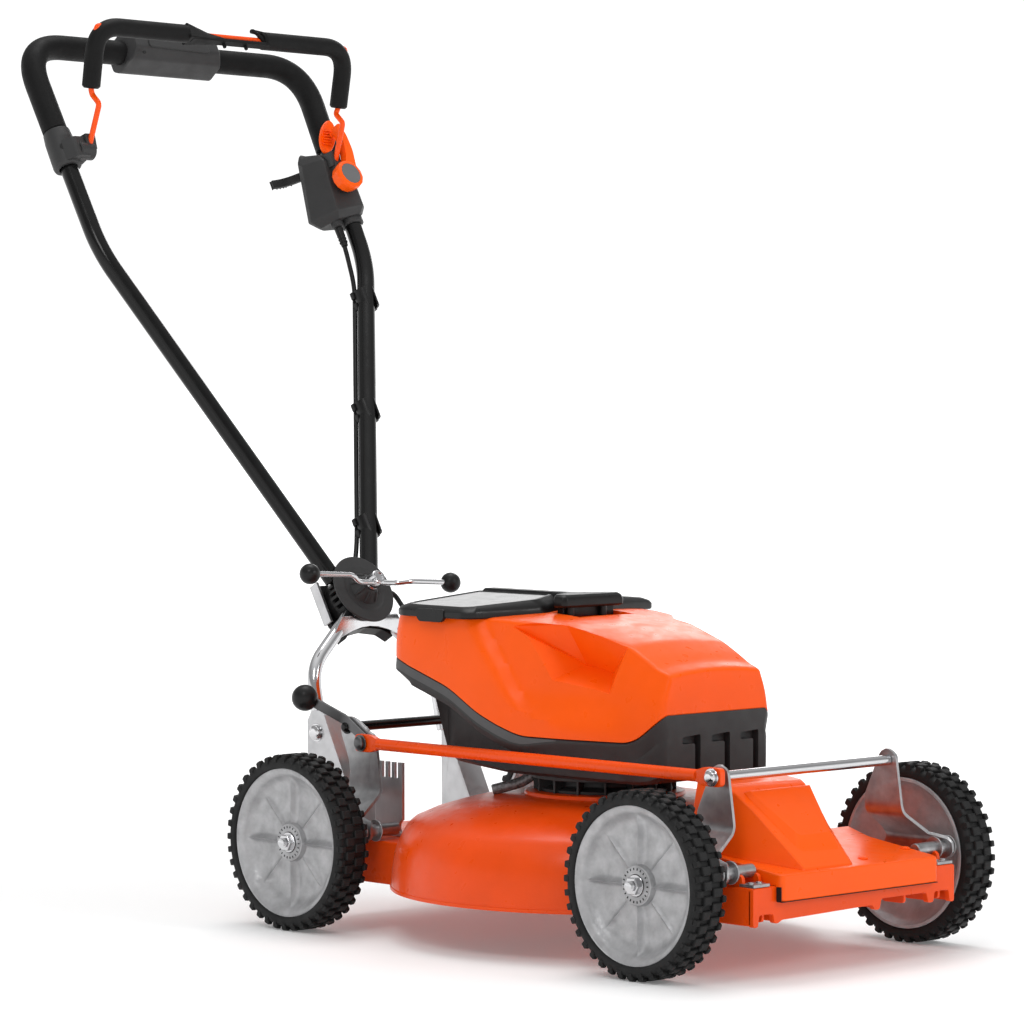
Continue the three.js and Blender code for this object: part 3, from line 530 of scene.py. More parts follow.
TYRE, RIM, AXLE_PART, RING, SLOT_SHADE_PADS = tyre(), rim(), wheel_axle(), hub_ring(), hub_slot_shade_pads()
for end, y in (("front", -AXLE_Y), ("rear", AXLE_Y)):
    for hand, side in SIDES.items():
        spot = lambda part: moved(mirrored(part, side), 0, y, AXLE_Z)
        tag = f"{end}_{hand}"
        build(f"tread_{tag}", [f"tyre_{tag}"], spot(TYRE), crease=30)
        build(f"cast_rim_{tag}", [f"wheel_rim_{tag}"], spot(RIM), crease=50)
        build(f"axle_nut_{tag}", [f"wheel_axle_{tag}"], spot(AXLE_PART))
        build(f"bearing_ring_{tag}", [], spot(RING), slot="zinc", body=f"wheel_{tag}")
        build(f"bearing_slot_shade_{tag}", [], spot(SLOT_SHADE_PADS), slot="black_plastic", body=f"wheel_{tag}",
              look=PAINTED_SHADE_BLACK)


# ---- Deck ----
SHELL_LINE = [  # radius, height of the shell's outer face
    (34, 170.5), (80, 169.6), (118, 167.8), (150, 163), (177, 156.3), (204, 148), (224, 139.3), (233, 131.5),
    (239.5, 120), (244, 110), (248, 98), (250.5, 80), (251.6, 66), (252, 60),
]


def shell_blank(inset):
    line = [(0, 171)] + [(r - inset, h - inset * 0.6) for r, h in SHELL_LINE]
    return lathe(line + [(252 - inset, 40), (0, 40)], "z", (0, DECK_Y, 0), 120, closed=False)


def deck_shell():
    outer = SHELL_LINE + [(252.6, 58.6), (252, 57.2)]
    inner = [(248.2, 57.2), (248, 80), (244, 98), (236, 119), (221, 135.5), (175, 152), (117, 163.8),
             (34, 166.3)]
    shell = lathe(outer + inner, "z", (0, DECK_Y, 0), 160)
    hem = lathe(fillet([(250.4, 57), (253.0, 57), (253.0, 61.5), (250.4, 61.5)], 1.2, 3), "z",
                (0, DECK_Y, 0), 160)
    boss = lathe(fillet([(80, 166), (96, 166), (94, 173), (80, 174)], 1.5, 3), "z", (0, DECK_Y, 0), 96)
    return merged(shell, hem, boss)


def front_wall():
    """Front edge of the casting, with the openings along its foot."""
    edge = [(-168, 104.6), (-168, 62), (-160, 62), (-158, 75), (-136, 75), (-134, 64), (-127, 64), (-122, 67)]
    edge += [(28, 70), (31, 64), (40, 64), (43, 76), (120, 76), (122, 64), (132, 64), (134, 76)]
    edge += [(158, 76), (160, 62), (168, 62), (168, 104.6)]
    wall = extrude(fillet(edge, 3.0, 3), "y", -397, -390, soft=1.4)
    webs = [extrude(fillet([(-392, 66), (-392, 101), (-350, 101), (-360, 66)], 4, 3), "x", x - 2, x + 2,
                    soft=0.8)
            for x in (-147, -130, 35, 88, 127, 147)]
    return merged(wall, *webs)


def bay(y_face, y_back, foot, top, half=168):
    """Top plate and side walls of one end of the casting, outside the round shell."""
    lo, hi = sorted((y_face, y_back))
    inner = [lo + 5, hi + 5] if y_face < y_back else [lo - 5, hi - 5]
    outer = softened(extrude(fillet([(-half, lo), (half, lo), (half, hi), (-half, hi)], 5, 4), "z", foot,
                             top), 2.0, 3, 60)
    hollow = block(5 - half, half - 5, *inner, foot - 5, top - 5, 0)
    return boolean(outer, [hollow, shell_blank(2)])


def saddles(y):
    """Ribbed seats that carry one end's pivots."""
    parts = []
    for side in (-1, 1):
        seat = fillet([(y - 14, 102), (y + 14, 102), (y + 12, 115), (y + 8, 118), (y - 8, 118),
                       (y - 12, 115)], 2, 3)
        for x in (134, 160):
            x0, x1 = sorted((side * x, side * (x + 5)))
            parts.append(extrude(seat, "x", x0, x1, soft=0.8))
    return merged(*parts)


front_notch = block(-164, 164, -400, -390, 50, 104, 0)
front_bay = boolean(bay(-397, -150, 63, 105), [front_notch])
rear_bay = boolean(bay(345, 150, 57, 108), [block(-58, 58, 338, 350, 40, 76, 0)])
build("deck_casting", ["deck_shell"], deck_shell(), front_bay, front_wall(), rear_bay,
      saddles(-365), crease=35)



# ---- Front cover ----
def front_cover():
    lip = fillet([(-131, -405), (131, -405), (131, -392), (131, -300), (150, -252), (-150, -252),
                  (-131, -300)],
                 [7, 7, 0, 8, 2, 2, 8], 4)
    rise = lambda y, low: 117.5 + max(0.0, (y + 403) * 0.137) - low
    rings = []
    for drop, inset in ((29.3, 0.6), (28.3, 0), (3.0, 0), (1.0, 0.8), (0, 2.6)):
        ring = []
        for x, y in lip:
            px, py = x * (1 - inset / 131), y + inset * (1 if y < -330 else -1)
            ring.append((px, py, rise(py, 0) - drop if drop < 20 else 117.5 - drop))
        rings.append(ring)
    slab = skin(rings)
    hump = [
        [(-91, -399, 116), (-5, -399, 116), (-8, -397.5, 119.5), (-86, -397.5, 120.5)],
        [(-122, -330, 112), (24, -330, 112), (7, -330, 180.5), (-98, -330, 182)],
        [(-129, -303, 112), (38, -303, 112), (17, -305, 201), (-108, -304, 204)],
        [(-130, -296, 112), (40, -296, 112), (20, -296, 204.5), (-109, -296, 207.5)],
        [(-130, -256, 112), (44, -256, 112), (26, -256, 208), (-108, -256, 211)],
    ]
    return merged(slab, softened(skin(hump), 2.4, 3, 12))


def cover_panel():
    """Raised panel on the hump's sloped front, with a broad chamfer along its foot."""
    slope = lambda x, y, lift: (x, y - lift * 0.675, 119.5 + (y + 397) * 0.913 + lift * 0.738)
    outline = [(-92, -311), (15, -311), (-7, -378), (-12, -381), (-71, -381), (-75, -377)]
    inner = [(-88, -313), (12, -313), (-9.5, -362), (-14, -365), (-60, -365), (-65, -361)]
    low = [slope(x, y, -2) for x, y in outline]
    rings = [low, [slope(x, y, 0.3) for x, y in outline], [slope(x, y, 5.2) for x, y in inner]]
    return softened(skin(rings), 1.2, 3, 12)


def cover_screws():
    parts = []
    for x, y in ((30, -380), (122, -362)):
        z = 117.5 + (y + 403) * 0.137
        parts.append(disc(6.2, z - 1, z + 1.4, "z", (x, y, 0), 28, 0.9))
        parts.append(lathe([(0, z + 1.3), (2.2, z + 1.3), (3.6, z + 2.0), (4.4, z + 1.9), (5, z), (0, z)],
                           "z", (x, y, 0), 24, closed=False))
    return merged(*parts)


over_deck = block(-200, 200, -396.6, -140, 40, 105.4, soft=0)
cover = boolean(front_cover(), [over_deck])
build("front_cover_moulding", ["front_cover"], cover, cover_panel(), cover_screws(), crease=30)
# Painted shade: thin near-black slabs along the joint of the front cover and the deck, for the dark gap.
lip_gap_shade = merged(block(-130, 130, -405.3, -396, 87.3, 88.1, 0.2),
                 block(-131.2, -130.2, -404, -396, 88, 104, 0.2))
build("front_cover_gap_shade", [], lip_gap_shade, slot="grey_plastic", body="chassis", look=PAINTED_SHADE_BLACK)


# ---- Motor housing ----
HOUSING = [  # y, seam height, seam half width, top height, ridge half width, floor height, floor half width
    (-184, 276, 85, 320, 75, 204, 84), (-178, 268, 93, 323, 77, 201, 89), (-165, 255, 99, 327, 78, 196, 92),
    (-148, 243, 104, 337, 79, 194, 95), (-121, 243, 111, 351, 83, 194, 97),
    (-60, 243, 124, 366, 108, 194, 100),
    (0, 244, 137, 375, 128, 194, 100), (30, 255, 144, 377, 137, 194, 100), (60, 268, 148, 378, 142, 194, 100),
    (105, 295, 151, 379, 145, 198, 100), (150, 310, 152, 380, 146, 202, 98),
    (166, 315, 152, 380, 146, 208, 95),
    (170, 316, 152, 380, 146, 286, 112), (192, 324, 150, 380, 144, 300, 138),
    (204, 327, 144, 379, 138, 308, 134),
]
STATIONS = np.concatenate([[-184, -183.4, -182, -180, -177], np.arange(-173, 196, 4),
                           [197, 200, 202.5, 203.6, 204]])
RIDGE_DROP = 5.5
WAVE = {"depth": 11.0, "run": 27.0}


def housing_at(y):
    """The housing's measures at a station; the seam is rounded off more than the rest."""
    table = np.array(HOUSING, float)
    measures = []
    for column, reach in enumerate((10, 5, 5, 5, 2, 2), start=1):
        reach = min(reach, max(0.0, y + 184), max(0.0, 204 - y))
        span = y + np.linspace(-reach, reach, 5)
        measures.append(float(np.mean(np.interp(span, table[:, 0], table[:, column]))))
    return measures


def end_inset(y):
    """How far the skin rolls in at the front and rear faces."""
    lap = max(0.0, 1 - (y + 184) / 4.0, 1 - (204 - y) / 4.0)
    return 3.2 * (1 - math.sqrt(max(0.0, 1 - lap * lap)))


def smooth(value):
    value = min(1.0, max(0.0, value))
    return value * value * (3 - 2 * value)


def flank_dip(y, share):
    """The flank rolls in towards a wave-shaped crease that falls forwards from the lid's front corner."""
    crease = np.interp(share, [0.15, 0.2, 0.27, 0.35, 0.6, 0.81, 1.0], [-60, -34, -7, 4, 26, 46, 61])
    roll = min(1.0, max(0.0, (crease + WAVE["run"] - y) / WAVE["run"]))
    return WAVE["depth"] * roll * roll * smooth((share - 0.05) / 0.4) * smooth((y + 165) / 100)


def flank_x(y, z):
    """Half width of the cover's flank at a station and height."""
    seam, seam_half, top, ridge_half, _, _ = housing_at(y)
    share = min(1.0, max(0.0, (z - seam) / (top - RIDGE_DROP - seam)))
    return seam_half + (ridge_half - seam_half) * share + 2.0 * math.sin(math.pi * share) - flank_dip(y,
        share)


def cover_skin():
    rings = []
    for y in STATIONS:
        seam, _, top, _, _, _ = housing_at(y)
        roll = end_inset(y)
        top -= roll
        ridge = top - RIDGE_DROP
        half = []
        for k in range(19):  # the flank, from the seam to the ridge
            z = seam + (ridge - seam) * k / 18
            half.append((flank_x(y, z) - roll, y, z))
        last = np.array(half[-1])
        inner = np.array((last[0] - 6.5, y, top - 0.4))
        corner = np.array((last[0] - 0.2, y, top - 1.4))
        for t in (0.2, 0.4, 0.6, 0.8):
            half.append(tuple((1 - t) ** 2 * last + 2 * t * (1 - t) * corner + t * t * inner))
        for k in range(8):  # the crowned top
            t = k / 8
            half.append((inner[0] * (1 - t), y, inner[2] + 4.5 * (1 - (1 - t) ** 2)))
        right = [(-x, py, z) for x, py, z in half]
        rings.append(right + [(0, y, inner[2] + 4.5)] + list(reversed(half)))
    return skin(rings)


def scoop(side):
    """Tool that presses the air scoop into a flank: a dark upper wall, a floor and a curved run-in."""
    on_flank = lambda y, z: (-flank_x(y, z) - 0.4, y, z)
    rim_points = [on_flank(24, 369), (-90, -30, 371.8), (-79, -120, 351.2), on_flank(-112, 321),
                  on_flank(-107, 296), on_flank(-31, 309), on_flank(-13, 336), on_flank(5, 359)]
    fold = [(-66, -39, 325.3), (-64, -80.5, 316.8)]
    near = [np.array(point, float) for point in rim_points]
    far = [point + (-60, 0, 35) for point in near]
    count = len(near)
    rear, front = 2 * count, 2 * count + 1
    walls = [(0, 1, rear), (1, 2, front, rear), (2, 3, front), (3, 4, front), (4, 5, rear, front),
             (5, 6, rear),
             (6, 7, rear), (7, 0, rear)]
    faces = [tuple(range(count - 1, -1, -1))]
    faces += [(k, (k + 1) % count, (k + 1) % count + count, k + count) for k in range(count)]
    faces += [tuple(k if k >= rear else k + count for k in wall) for wall in walls]
    return mirrored(shape(far + near + fold, faces), -side)


bays = [block(*sorted((side * 9, side * 125)), 64, 186, 318, 420, soft=0) for side in (-1, 1)]
neck_slot = block(-46, 46, -7, 36, 373, 400, soft=0)
cover_cut = boolean(cover_skin(), bays + [neck_slot, scoop(-1), scoop(1)])
build("motor_cover_moulding", ["motor_cover"], softened(cover_cut, 0.9, 2, 22), crease=30)


def lip_at(y):
    """Height of the band under the seam: broad at the rear, gone towards the front."""
    return 3.0 + 9.0 * smooth((y + 60) / 80)


def base_skin():
    rings = []
    for y in STATIONS:
        seam, seam_half, _, _, floor, floor_half = housing_at(y)
        roll = end_inset(y)
        seam_half, floor_half = seam_half - roll, floor_half - roll
        lip = lip_at(y)
        shelf = max(floor + 3, seam - 29)
        step = min(6.0, 0.4 * (seam - lip - shelf))
        front = smooth((-120 - y) / 30)
        wall = floor_half + 3 + (seam_half - 5 - floor_half) * front
        half = [
            (floor_half - 6, y, floor),
            (floor_half, y, floor + min(4.0, 0.5 * (shelf - floor))),
            (wall, y, shelf),
            (seam_half - 3.5, y, shelf + step),
            (seam_half + 0.4, y, seam - lip - 3.0),
            (seam_half + 0.4, y, seam - lip),
            (seam_half - 0.8, y, seam - 1.6),
            (seam_half - 1.6, y, seam - 1.0),
        ]
        rings.append([(-x, py, z) for x, py, z in half] + list(reversed(half)))
    return skin(rings)


def vent(x):
    """An inverted-L slot in the front face."""
    width, bar, top, foot = 30, 9, 250, 198
    leg = x + width - bar
    line = [(x, top - bar), (x, top - 1), (x + width, top + 1), (x + width, foot), (leg, foot),
            (leg, top - bar)]
    return extrude(fillet(line, 2.5, 3), "y", -190, -174)


base_cut = boolean(base_skin(), [vent(x) for x in (-57, -8, 40)])
build("motor_base_moulding", ["motor_base"], base_cut, crease=28)
# Painted highlight: a lighter grey strip on the face of the lip under the seam, from y -50 rearwards on both
# sides.
band_rings = []
for y in STATIONS[(STATIONS > -50) & (STATIONS < 205)]:
    seam, seam_half, *_ = housing_at(y)
    edge, lip = seam_half - end_inset(y), lip_at(y)
    face = [(edge + 0.7, y, seam - lip + 0.2), (edge - 0.5, y, seam - 1.8)]
    band_rings.append(face + [(x - 2, py, z) for x, py, z in reversed(face)])
band = skin(band_rings)
build("motor_base_lip_highlight", [], band, mirrored(band), slot="grey_plastic", body="chassis", look=LIP_HIGHLIGHT)


# ---- Lids ----
LID_RIM = [(1.0, 376, 0), (0, 377.5, 0), (0, 383, 0.15), (2.2, 386.3, 0.5), (8.5, 388.6, 1), (10.5, 388.9, 1),
           (12.0, 387.4, 1), (14.0, 387.0, 1)]
LID_PANEL = [(11.8, 386.0, 1), (11.8, 387.6, 1), (12.6, 388.0, 1)]


def lid_skin(levels):
    """Rings of the right-hand lid's outline: how far in, how high and how much of the rise to the middle."""
    plan = [(-10.4, 59), (-52, 41), (-150, 65), (-157, 74), (-156, 182), (-148, 196), (-128, 198.5),
            (-10.4, 198.5)]
    centre = np.array((-84, 126))
    rings = []
    rise = lambda x: 13.0 * (1 - abs(x) / 156)
    for inset, height, slope in levels:
        ring = []
        for x, y in fillet(plan, [2, 10, 10, 10, 12, 10, 4, 2], 4):
            away = centre - (x, y)
            px = x + math.copysign(min(abs(away[0]), inset), away[0])
            py = y + math.copysign(min(abs(away[1]), inset), away[1])
            ring.append((px, py, height + slope * rise(px)))
        rings.append(ring)
    return skin(rings)


TAB = fillet([(106, 386), (153, 386), (153, 376), (148, 370.8), (111, 370.8), (106, 376)], 2.5, 3)
LID = merged(lid_skin(LID_RIM), extrude(TAB, "x", -158, -153, soft=1.0))
PANEL = lid_skin(LID_PANEL)
for hand, side in SIDES.items():
    build(f"lid_{hand}_moulding", [f"lid_{hand}"], mirrored(LID, -side), crease=32)
    build(f"lid_{hand}_panel", [], mirrored(PANEL, -side), crease=32, slot="black_plastic",
          body=f"lid_{hand}",
          look=GLOSS)
cap_plan = [(-51, 17), (-46, 13), (46, 13), (51, 17), (51, 31), (46, 36), (9.4, 52), (9.4, 198),
            (-9.4, 198), (-9.4, 52), (-46, 36), (-51, 31)]
cap_rings = []
for inset, z in ((2.5, 387), (0, 389), (0, 395), (1.5, 399.5), (5, 402.5)):
    cap_rings.append([(x * (1 - inset / 51), y + (inset if y < 20 else -inset if y > 190 else 0), z) for x,
                      y in cap_plan])
cap_posts = [disc(4.5, 374, 390, "z", (x, 20, 0), 24) for x in (-34, 20)]
build("lid_centre_moulding", ["lid_centre"], softened(skin(cap_rings), 1.0, 2, 30),
      block(-42, 42, 24, 34, 376, 390, 1.0),
      block(-7, 7, 40, 192, 382, 390, 1.0), *cap_posts, crease=32)


# ---- Wheel arms and height linkage ----
def arm_plate():
    """Left front arm: a plate folded out to the wheel and down again to the axle."""
    fold = fillet([(140, 236), (140, 161), (188, 128.5), (188, 78)], 9, 5, closed=False)
    fine = []
    for a, b in zip(fold, fold[1:]):
        count = max(1, int(np.linalg.norm(b - a) / 3))
        fine += [a + (b - a) * k / count for k in range(count)]
    fine.append(fold[-1])
    left = [(233.5, -321), (232, -327), (226, -334), (160, -344), (134, -351), (133, -372), (126, -378),
            (114, -379), (108, -372), (91, -300), (90.5, -296)]
    right = [(233.5, -321), (232, -314), (226, -309), (180, -288), (140, -286), (116, -274), (96, -274),
             (91, -284), (90.5, -292)]
    lz, ly = zip(*sorted(left))
    rz, ry = zip(*sorted(right))
    rings = []
    for i, (x, z) in enumerate(fine):
        if not 90.5 <= z <= 233.5:
            continue
        a, b = fine[max(i - 1, 0)], fine[min(i + 1, len(fine) - 1)]
        along = (b - a) / np.linalg.norm(b - a)
        nx, nz = -along[1] * 2.0, along[0] * 2.0
        y0, y1 = float(np.interp(z, lz, ly)), float(np.interp(z, rz, ry))
        if y1 - y0 < 1.5:
            continue
        rings.append([(x - nx, y0, z - nz), (x - nx, (y0 + y1) / 2, z - nz), (x - nx, y1, z - nz),
                      (x + nx, y1, z + nz), (x + nx, (y0 + y1) / 2, z + nz), (x + nx, y0, z + nz)])
    return softened(skin(rings), 0.5, 2, 50)


def pivot_stub():
    stub = disc(7.5, 136, 201.5, "x", (0, -365, 120), 40, 1.0)
    washers = [disc(13, x, x + 2, "x", (0, -365, 120), 40, 0.4) for x in (192.5, 169)]
    return merged(stub, *washers)


def rod_end(x, y, z, radius=8.0, out=1):
    """A plated bolt head with a washer, facing along X."""
    head = lathe(fillet([(0, 0), (radius, 0), (radius, 3.5), (radius * 0.6, 5.4), (0, 5.6)], 0.8, 3,
                        closed=False),
                 "x", sides=32, closed=False)
    washer = disc(radius + 2.2, -1.2, 0.2, "x", edge=0.3)
    return moved(mirrored(merged(head, washer), out), x, y, z)


ARM = merged(arm_plate(), pivot_stub())
ear_edge = fillet([(-326, 222), (-322, 234), (-300, 247), (-284, 250), (-274, 242), (-272, 230),
                   (-286, 200), (-292, 172), (-322, 170)],
                  [2, 6, 8, 8, 6, 6, 10, 2, 2], 4)
EAR = extrude(ear_edge, "x", 137.8, 142.2, soft=0.6)
for hand, side in SIDES.items():
    build(f"front_arm_plate_{hand}", [f"front_arm_{hand}"], mirrored(ARM, side), crease=40)
    rear = moved(merged(ARM, EAR), 0, WHEELBASE, 0)
    build(f"rear_arm_plate_{hand}", [f"rear_arm_{hand}"], mirrored(rear, side), crease=40)

build("front_cross_bar", ["front_cross_rod"], disc(6, -137.6, 137.6, "x", (0, -323, 220), 40, 0.8),
      disc(4, -160, 146, "x", (0, -323, 220), 24), rod_end(-157, -323, 220, out=-1),
      rod_end(143.5, -323, 220))
build("rear_cross_bar", ["rear_cross_rod"], disc(6, -137.6, 137.6, "x", (0, 292, 236), 40, 0.8),
      rod_end(143.5, 292, 236, 6), rod_end(-143.5, 292, 236, 6, out=-1))


def height_link():
    bar = sweep([(-150.5, -297, 220), (-150.5, 227, 220)], 7, sides=28)
    parts = [bar]
    for y, inward in ((-323, 1), (253, -1)):
        plate = [(y - inward * 12, 209.5), (y + inward * 14, 209.5), (y + inward * 27, 214),
                 (y + inward * 27, 226),
                 (y + inward * 14, 230.5), (y - inward * 12, 230.5)]
        if inward < 0:
            plate = plate[::-1]
        parts.append(extrude(fillet(plate, [6, 4, 3, 3, 4, 6], 4), "x", -154.5, -146.5, soft=0.9, segments=3))
    return merged(*parts)


build("height_link_bar", ["height_link"], height_link())


def height_lever():
    """Flat steel bar cranked outwards to the ball."""
    route = [(-144, 249.5, 219), (-144, 292, 244.5), (-165, 330, 266.5)]
    path = fillet(route, 8, 5, closed=False)
    rings = []
    for i, point in enumerate(path):
        a, b = path[max(i - 1, 0)], path[min(i + 1, len(path) - 1)]
        along = (b - a) / np.linalg.norm(b - a)
        up = np.cross(along, (1.0, 0, 0))
        up = up / np.linalg.norm(up) * -6.2
        across = np.cross(along, up)
        across = across / np.linalg.norm(across) * 1.7
        rings.append([point - up - across, point + up - across, point + up + across, point - up + across])
    bar = softened(skin(rings), 0.6, 2, 40)
    stud = disc(4, -160, -128, "x", (0, 253, 220), 24)
    return merged(bar, stud, rod_end(-157, 253, 220, out=-1), hexagon(8, -137.5, -131, "x", (0, 253, 220)))


build("height_lever_bar", ["height_lever"], height_lever())
build("height_lever_knob", ["height_lever_ball"], moved(ball((0, 0, 0), 16), -172, 335, 270.5))


# ---- Handle carrier ----
def yoke():
    parts = []
    for side in (-1, 1):
        line = [(side * 101, 383, 212), (side * 101, 404, 298), (side * 36, 419, 350), (side * 22, 423, 362)]
        parts.append(sweep(line, 8.6, bend=30, sides=32, steps=10))
        foot = extrude(fillet([(370, 212), (392, 212), (396, 238), (374, 238)], 6, 4), "x",
                       *sorted((side * 98, side * 109.6)), soft=1.0)
        parts.append(foot)
        parts.append(rod_end(side * 114.5, 380, 222, 9, out=side))
    arch = [(-46, 360), (46, 360), (64, 330), (58, 329)]
    arch += [(58 - 116 * t, 329 + 17 * math.sin(math.pi * t))
             for t in (0.12, 0.25, 0.38, 0.5, 0.62, 0.75, 0.88)]
    arch += [(-58, 329), (-64, 330)]
    parts.append(extrude(arch, "y", 408, 413, soft=0.8))
    return merged(*parts)


build("yoke_tube", ["yoke"], yoke())


def hub_base():
    core = lathe(fillet([(0, 29), (29, 29), (31, 32), (31, 43), (0, 44)], 0.8, 2, closed=False), "y",
                 sides=72, closed=False)
    teeth = [turned(block(-2.0, 2.0, 16, 30.5, 27.5, 33.5, 0.5), 15 * k, "Y") for k in range(24)]
    plate = extrude(fillet([(-34, -32), (34, -32), (34, 28), (-34, 28)], 8, 4), "y", 44, 52, soft=1.4)
    neck = extrude(fillet([(-40, -58), (-26, -47), (0, -43), (26, -47), (40, -58), (38, -40), (-38, -40)],
                          2, 3),
                   "y", 24, 40, soft=1.0)
    return merged(core, plate, neck, *teeth)


build("hub_base_moulding", ["hub_base"], hub_base(), where=HUB)
straps = [block(*sorted((side * 34.5, side * 38.5)), 38, 53, -25, 30, 0.8) for side in (-1, 1)]
build("hub_straps", [], *straps, where=HUB, slot="alloy", body=NODES["hub_base"]["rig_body"])


def hub_plate():
    face = lathe(fillet([(0, 5.5), (44.4, 5.5), (45.6, 3.6), (45.0, 1.4), (31, 1.0), (28, 1.8), (0, 1.8)],
                        0.8, 3, closed=False),
                 "y", sides=120, closed=False)
    cone = lathe(fillet([(0, 2.4), (22, 2.4), (19, -2), (13, -11), (11, -12.4), (0, -12.4)], 1.4, 3,
                        closed=False),
                 "y", sides=80, closed=False)
    flutes = [turned(sweep([(0, -11.4, 12.2), (0, 0.6, 20.4)], 2.1, sides=16, end=0.6), 45 * k + 20, "Y")
              for k in range(8)]
    return merged(face, cone, *flutes)


build("hub_disc", ["hub_plate"], hub_plate(), where=HANDLE)


def clamp_lever():
    line = [(-106, -33, 4), (-44, -32, 2), (-31, -24, -4), (31, -24, -6), (46, -32, -8), (106, -33, -11)]
    arms = sweep(line, 3.6, bend=7, sides=20, steps=5)
    collar = lathe(fillet([(0, -12.6), (9.6, -12.6), (10.4, -15), (9.4, -18), (10.2, -20), (9.4, -30),
                           (6.8, -31), (0, -30.4)], 0.8, 3, closed=False),
                   "y", sides=40, closed=False)
    ring = lathe(fillet([(5.2, -32.4), (7.8, -32.4), (8.2, -29.5), (5.2, -29.5)], 0.5, 2), "y", sides=40)
    bolt = disc(5, -24, 58, "y", sides=24)
    nut = hexagon(9, 52.5, 59, "y")
    return merged(arms, collar, ring, bolt, nut)


build("clamp_lever_rod", ["clamp_lever"], clamp_lever(), where=HANDLE)
build("clamp_knob_right", ["clamp_ball_right"], moved(ball((0, 0, 0), 12.8), -113, -33, 4), where=HANDLE)
build("clamp_knob_left", ["clamp_ball_left"], moved(ball((0, 0, 0), 12.8), 113, -33, -11.5), where=HANDLE)


# ---- Handle tubes, grip and console ----
tube_x = lambda s: 221 + (232.5 - 221) * (s - 490) / (796 - 490)


def side_line(side, top):
    return [(side * 29, TUBE_Y, 20), (side * 221, TUBE_Y, 490), (side * tube_x(top), TUBE_Y, top)]


for hand, side in SIDES.items():
    build(f"lower_tube_bar_{hand}", [f"lower_tube_{hand}"],
          sweep(side_line(side, 664), 11.5, bend=34, sides=40, steps=14), where=HANDLE)
seam_x = tube_x(664.6)
build("handlebar_grip", ["handlebar"],
      sweep([(-seam_x, TUBE_Y, 664.6), (-232.5, TUBE_Y, 796), (232.5, TUBE_Y, 796), (seam_x, TUBE_Y, 664.6)],
            16, bend=88, sides=48, steps=18, end=1.6), where=HANDLE)


def console():
    """Casing round the grip: cut-off front corners and a shallow raised panel."""
    section = fillet([(-1, 777), (30, 772), (41, 781), (41, 805), (31, 816), (-2, 820), (-12, 811),
                      (-12, 788)], 4, 3)
    corners = [extrude([(s * 58, -40), (s * 95, -40), (s * 95, 26), (s * 76, 6)], "z", 740, 840)
               for s in (-1, 1)]
    body = boolean(extrude(section, "x", -76, 76), corners)
    panel = extrude(fillet([(-50, 789), (52, 786), (46, 809), (-44, 812)], 5, 3), "y", -13.8, -11, soft=1.2,
                    segments=3)
    return merged(softened(body, 1.8, 3, 24), panel)


build("console_moulding", ["handle_console"], console(), where=HANDLE, crease=32)
# Painted shade: near-black discs on the console where its slot and small hole show dark.
build("console_hole_shades", [], disc(4.2, -15.0, -13.6, "y", (10, 0, 806), 24, 0.2),
      disc(2.6, -13.4, -11.8, "y", (-62, 0, 779), 20, 0.2),
      where=HANDLE, slot="grey_plastic", body="handle", look=PAINTED_SHADE_BLACK)


def socket(side):
    """Square socket that the bail's foot turns in."""
    return [
        disc(11.5, *sorted((side * 199, side * 222)), "x", (0, -4, 624), 36, 1.2),
        turned(block(side * 204 - 8, side * 204 + 8, -13, 5, 624, 645, 1.4), 12, "X", (0, -4, 624)),
    ]


def bail_bracket():
    collar = lathe(fillet([(11.8, 610), (17.2, 610), (18.6, 614), (18.6, 650), (17.2, 663.4),
                           (11.8, 663.4)], 1.2, 3),
                   "z", (-tube_x(637), TUBE_Y, 0), 48)
    web = extrude(fillet([(-228, -12), (-208, -12), (-208, 14), (-236, 22), (-240, 6)], 4, 3), "z", 613,
                  641, soft=2.0)
    return merged(collar, web, *socket(-1))


build("bail_clamp", ["bail_bracket"], bail_bracket(), where=HANDLE)
# Painted shade: a near-black disc on the clamp where its hole shows dark.
build("bail_clamp_hole_shade", [], disc(4.6, 16.6, 18.9, "x", (0, 0, 0), 24, 0.2),
      where=HANDLE @ Matrix.Translation((-tube_x(637), TUBE_Y, 634))
      @ Matrix.Rotation(math.radians(238), 4, "Z"),
      slot="grey_plastic", body="handle", look=PAINTED_SHADE_BLACK)


BOX_RINGS = [  # foot, lower edge, upper edge and top, each from the outer front corner round
    [(186, 38, 555), (196, 12, 554), (224, -2, 556), (232, 2, 557), (232, 28, 556), (226, 38, 555),
     (197, 46, 556),
     (188, 43, 556)],
    [(173, 39, 564), (192, 4, 563), (229, -8, 566), (240, 2, 569), (240, 32, 567), (232, 45, 567),
     (189, 55, 572),
     (175, 47, 567)],
    [(176, 22, 642), (191, -4, 636), (229, -8, 628), (240, 2, 632), (240, 30, 640), (233, 40, 644),
     (188, 37, 656),
     (177, 30, 650)],
    [(182, 24, 655), (194, 4, 650), (226, -2, 638), (234, 3, 642), (234, 28, 658), (228, 34, 663),
     (191, 33, 667),
     (183, 29, 661)],
]


def control_box():
    case = softened(skin(BOX_RINGS), 1.6, 3, 14)
    relief_pocket = disc(8, 547, 558, "z", (201, 22, 0), 28, 1.0)
    tube_collar = disc(15, 548, 560, "z", (223.5, TUBE_Y, 0), 36, 1.4)
    return merged(case, relief_pocket, tube_collar, *socket(1))


build("control_box_case", ["control_box"], control_box(), where=HANDLE, crease=32)


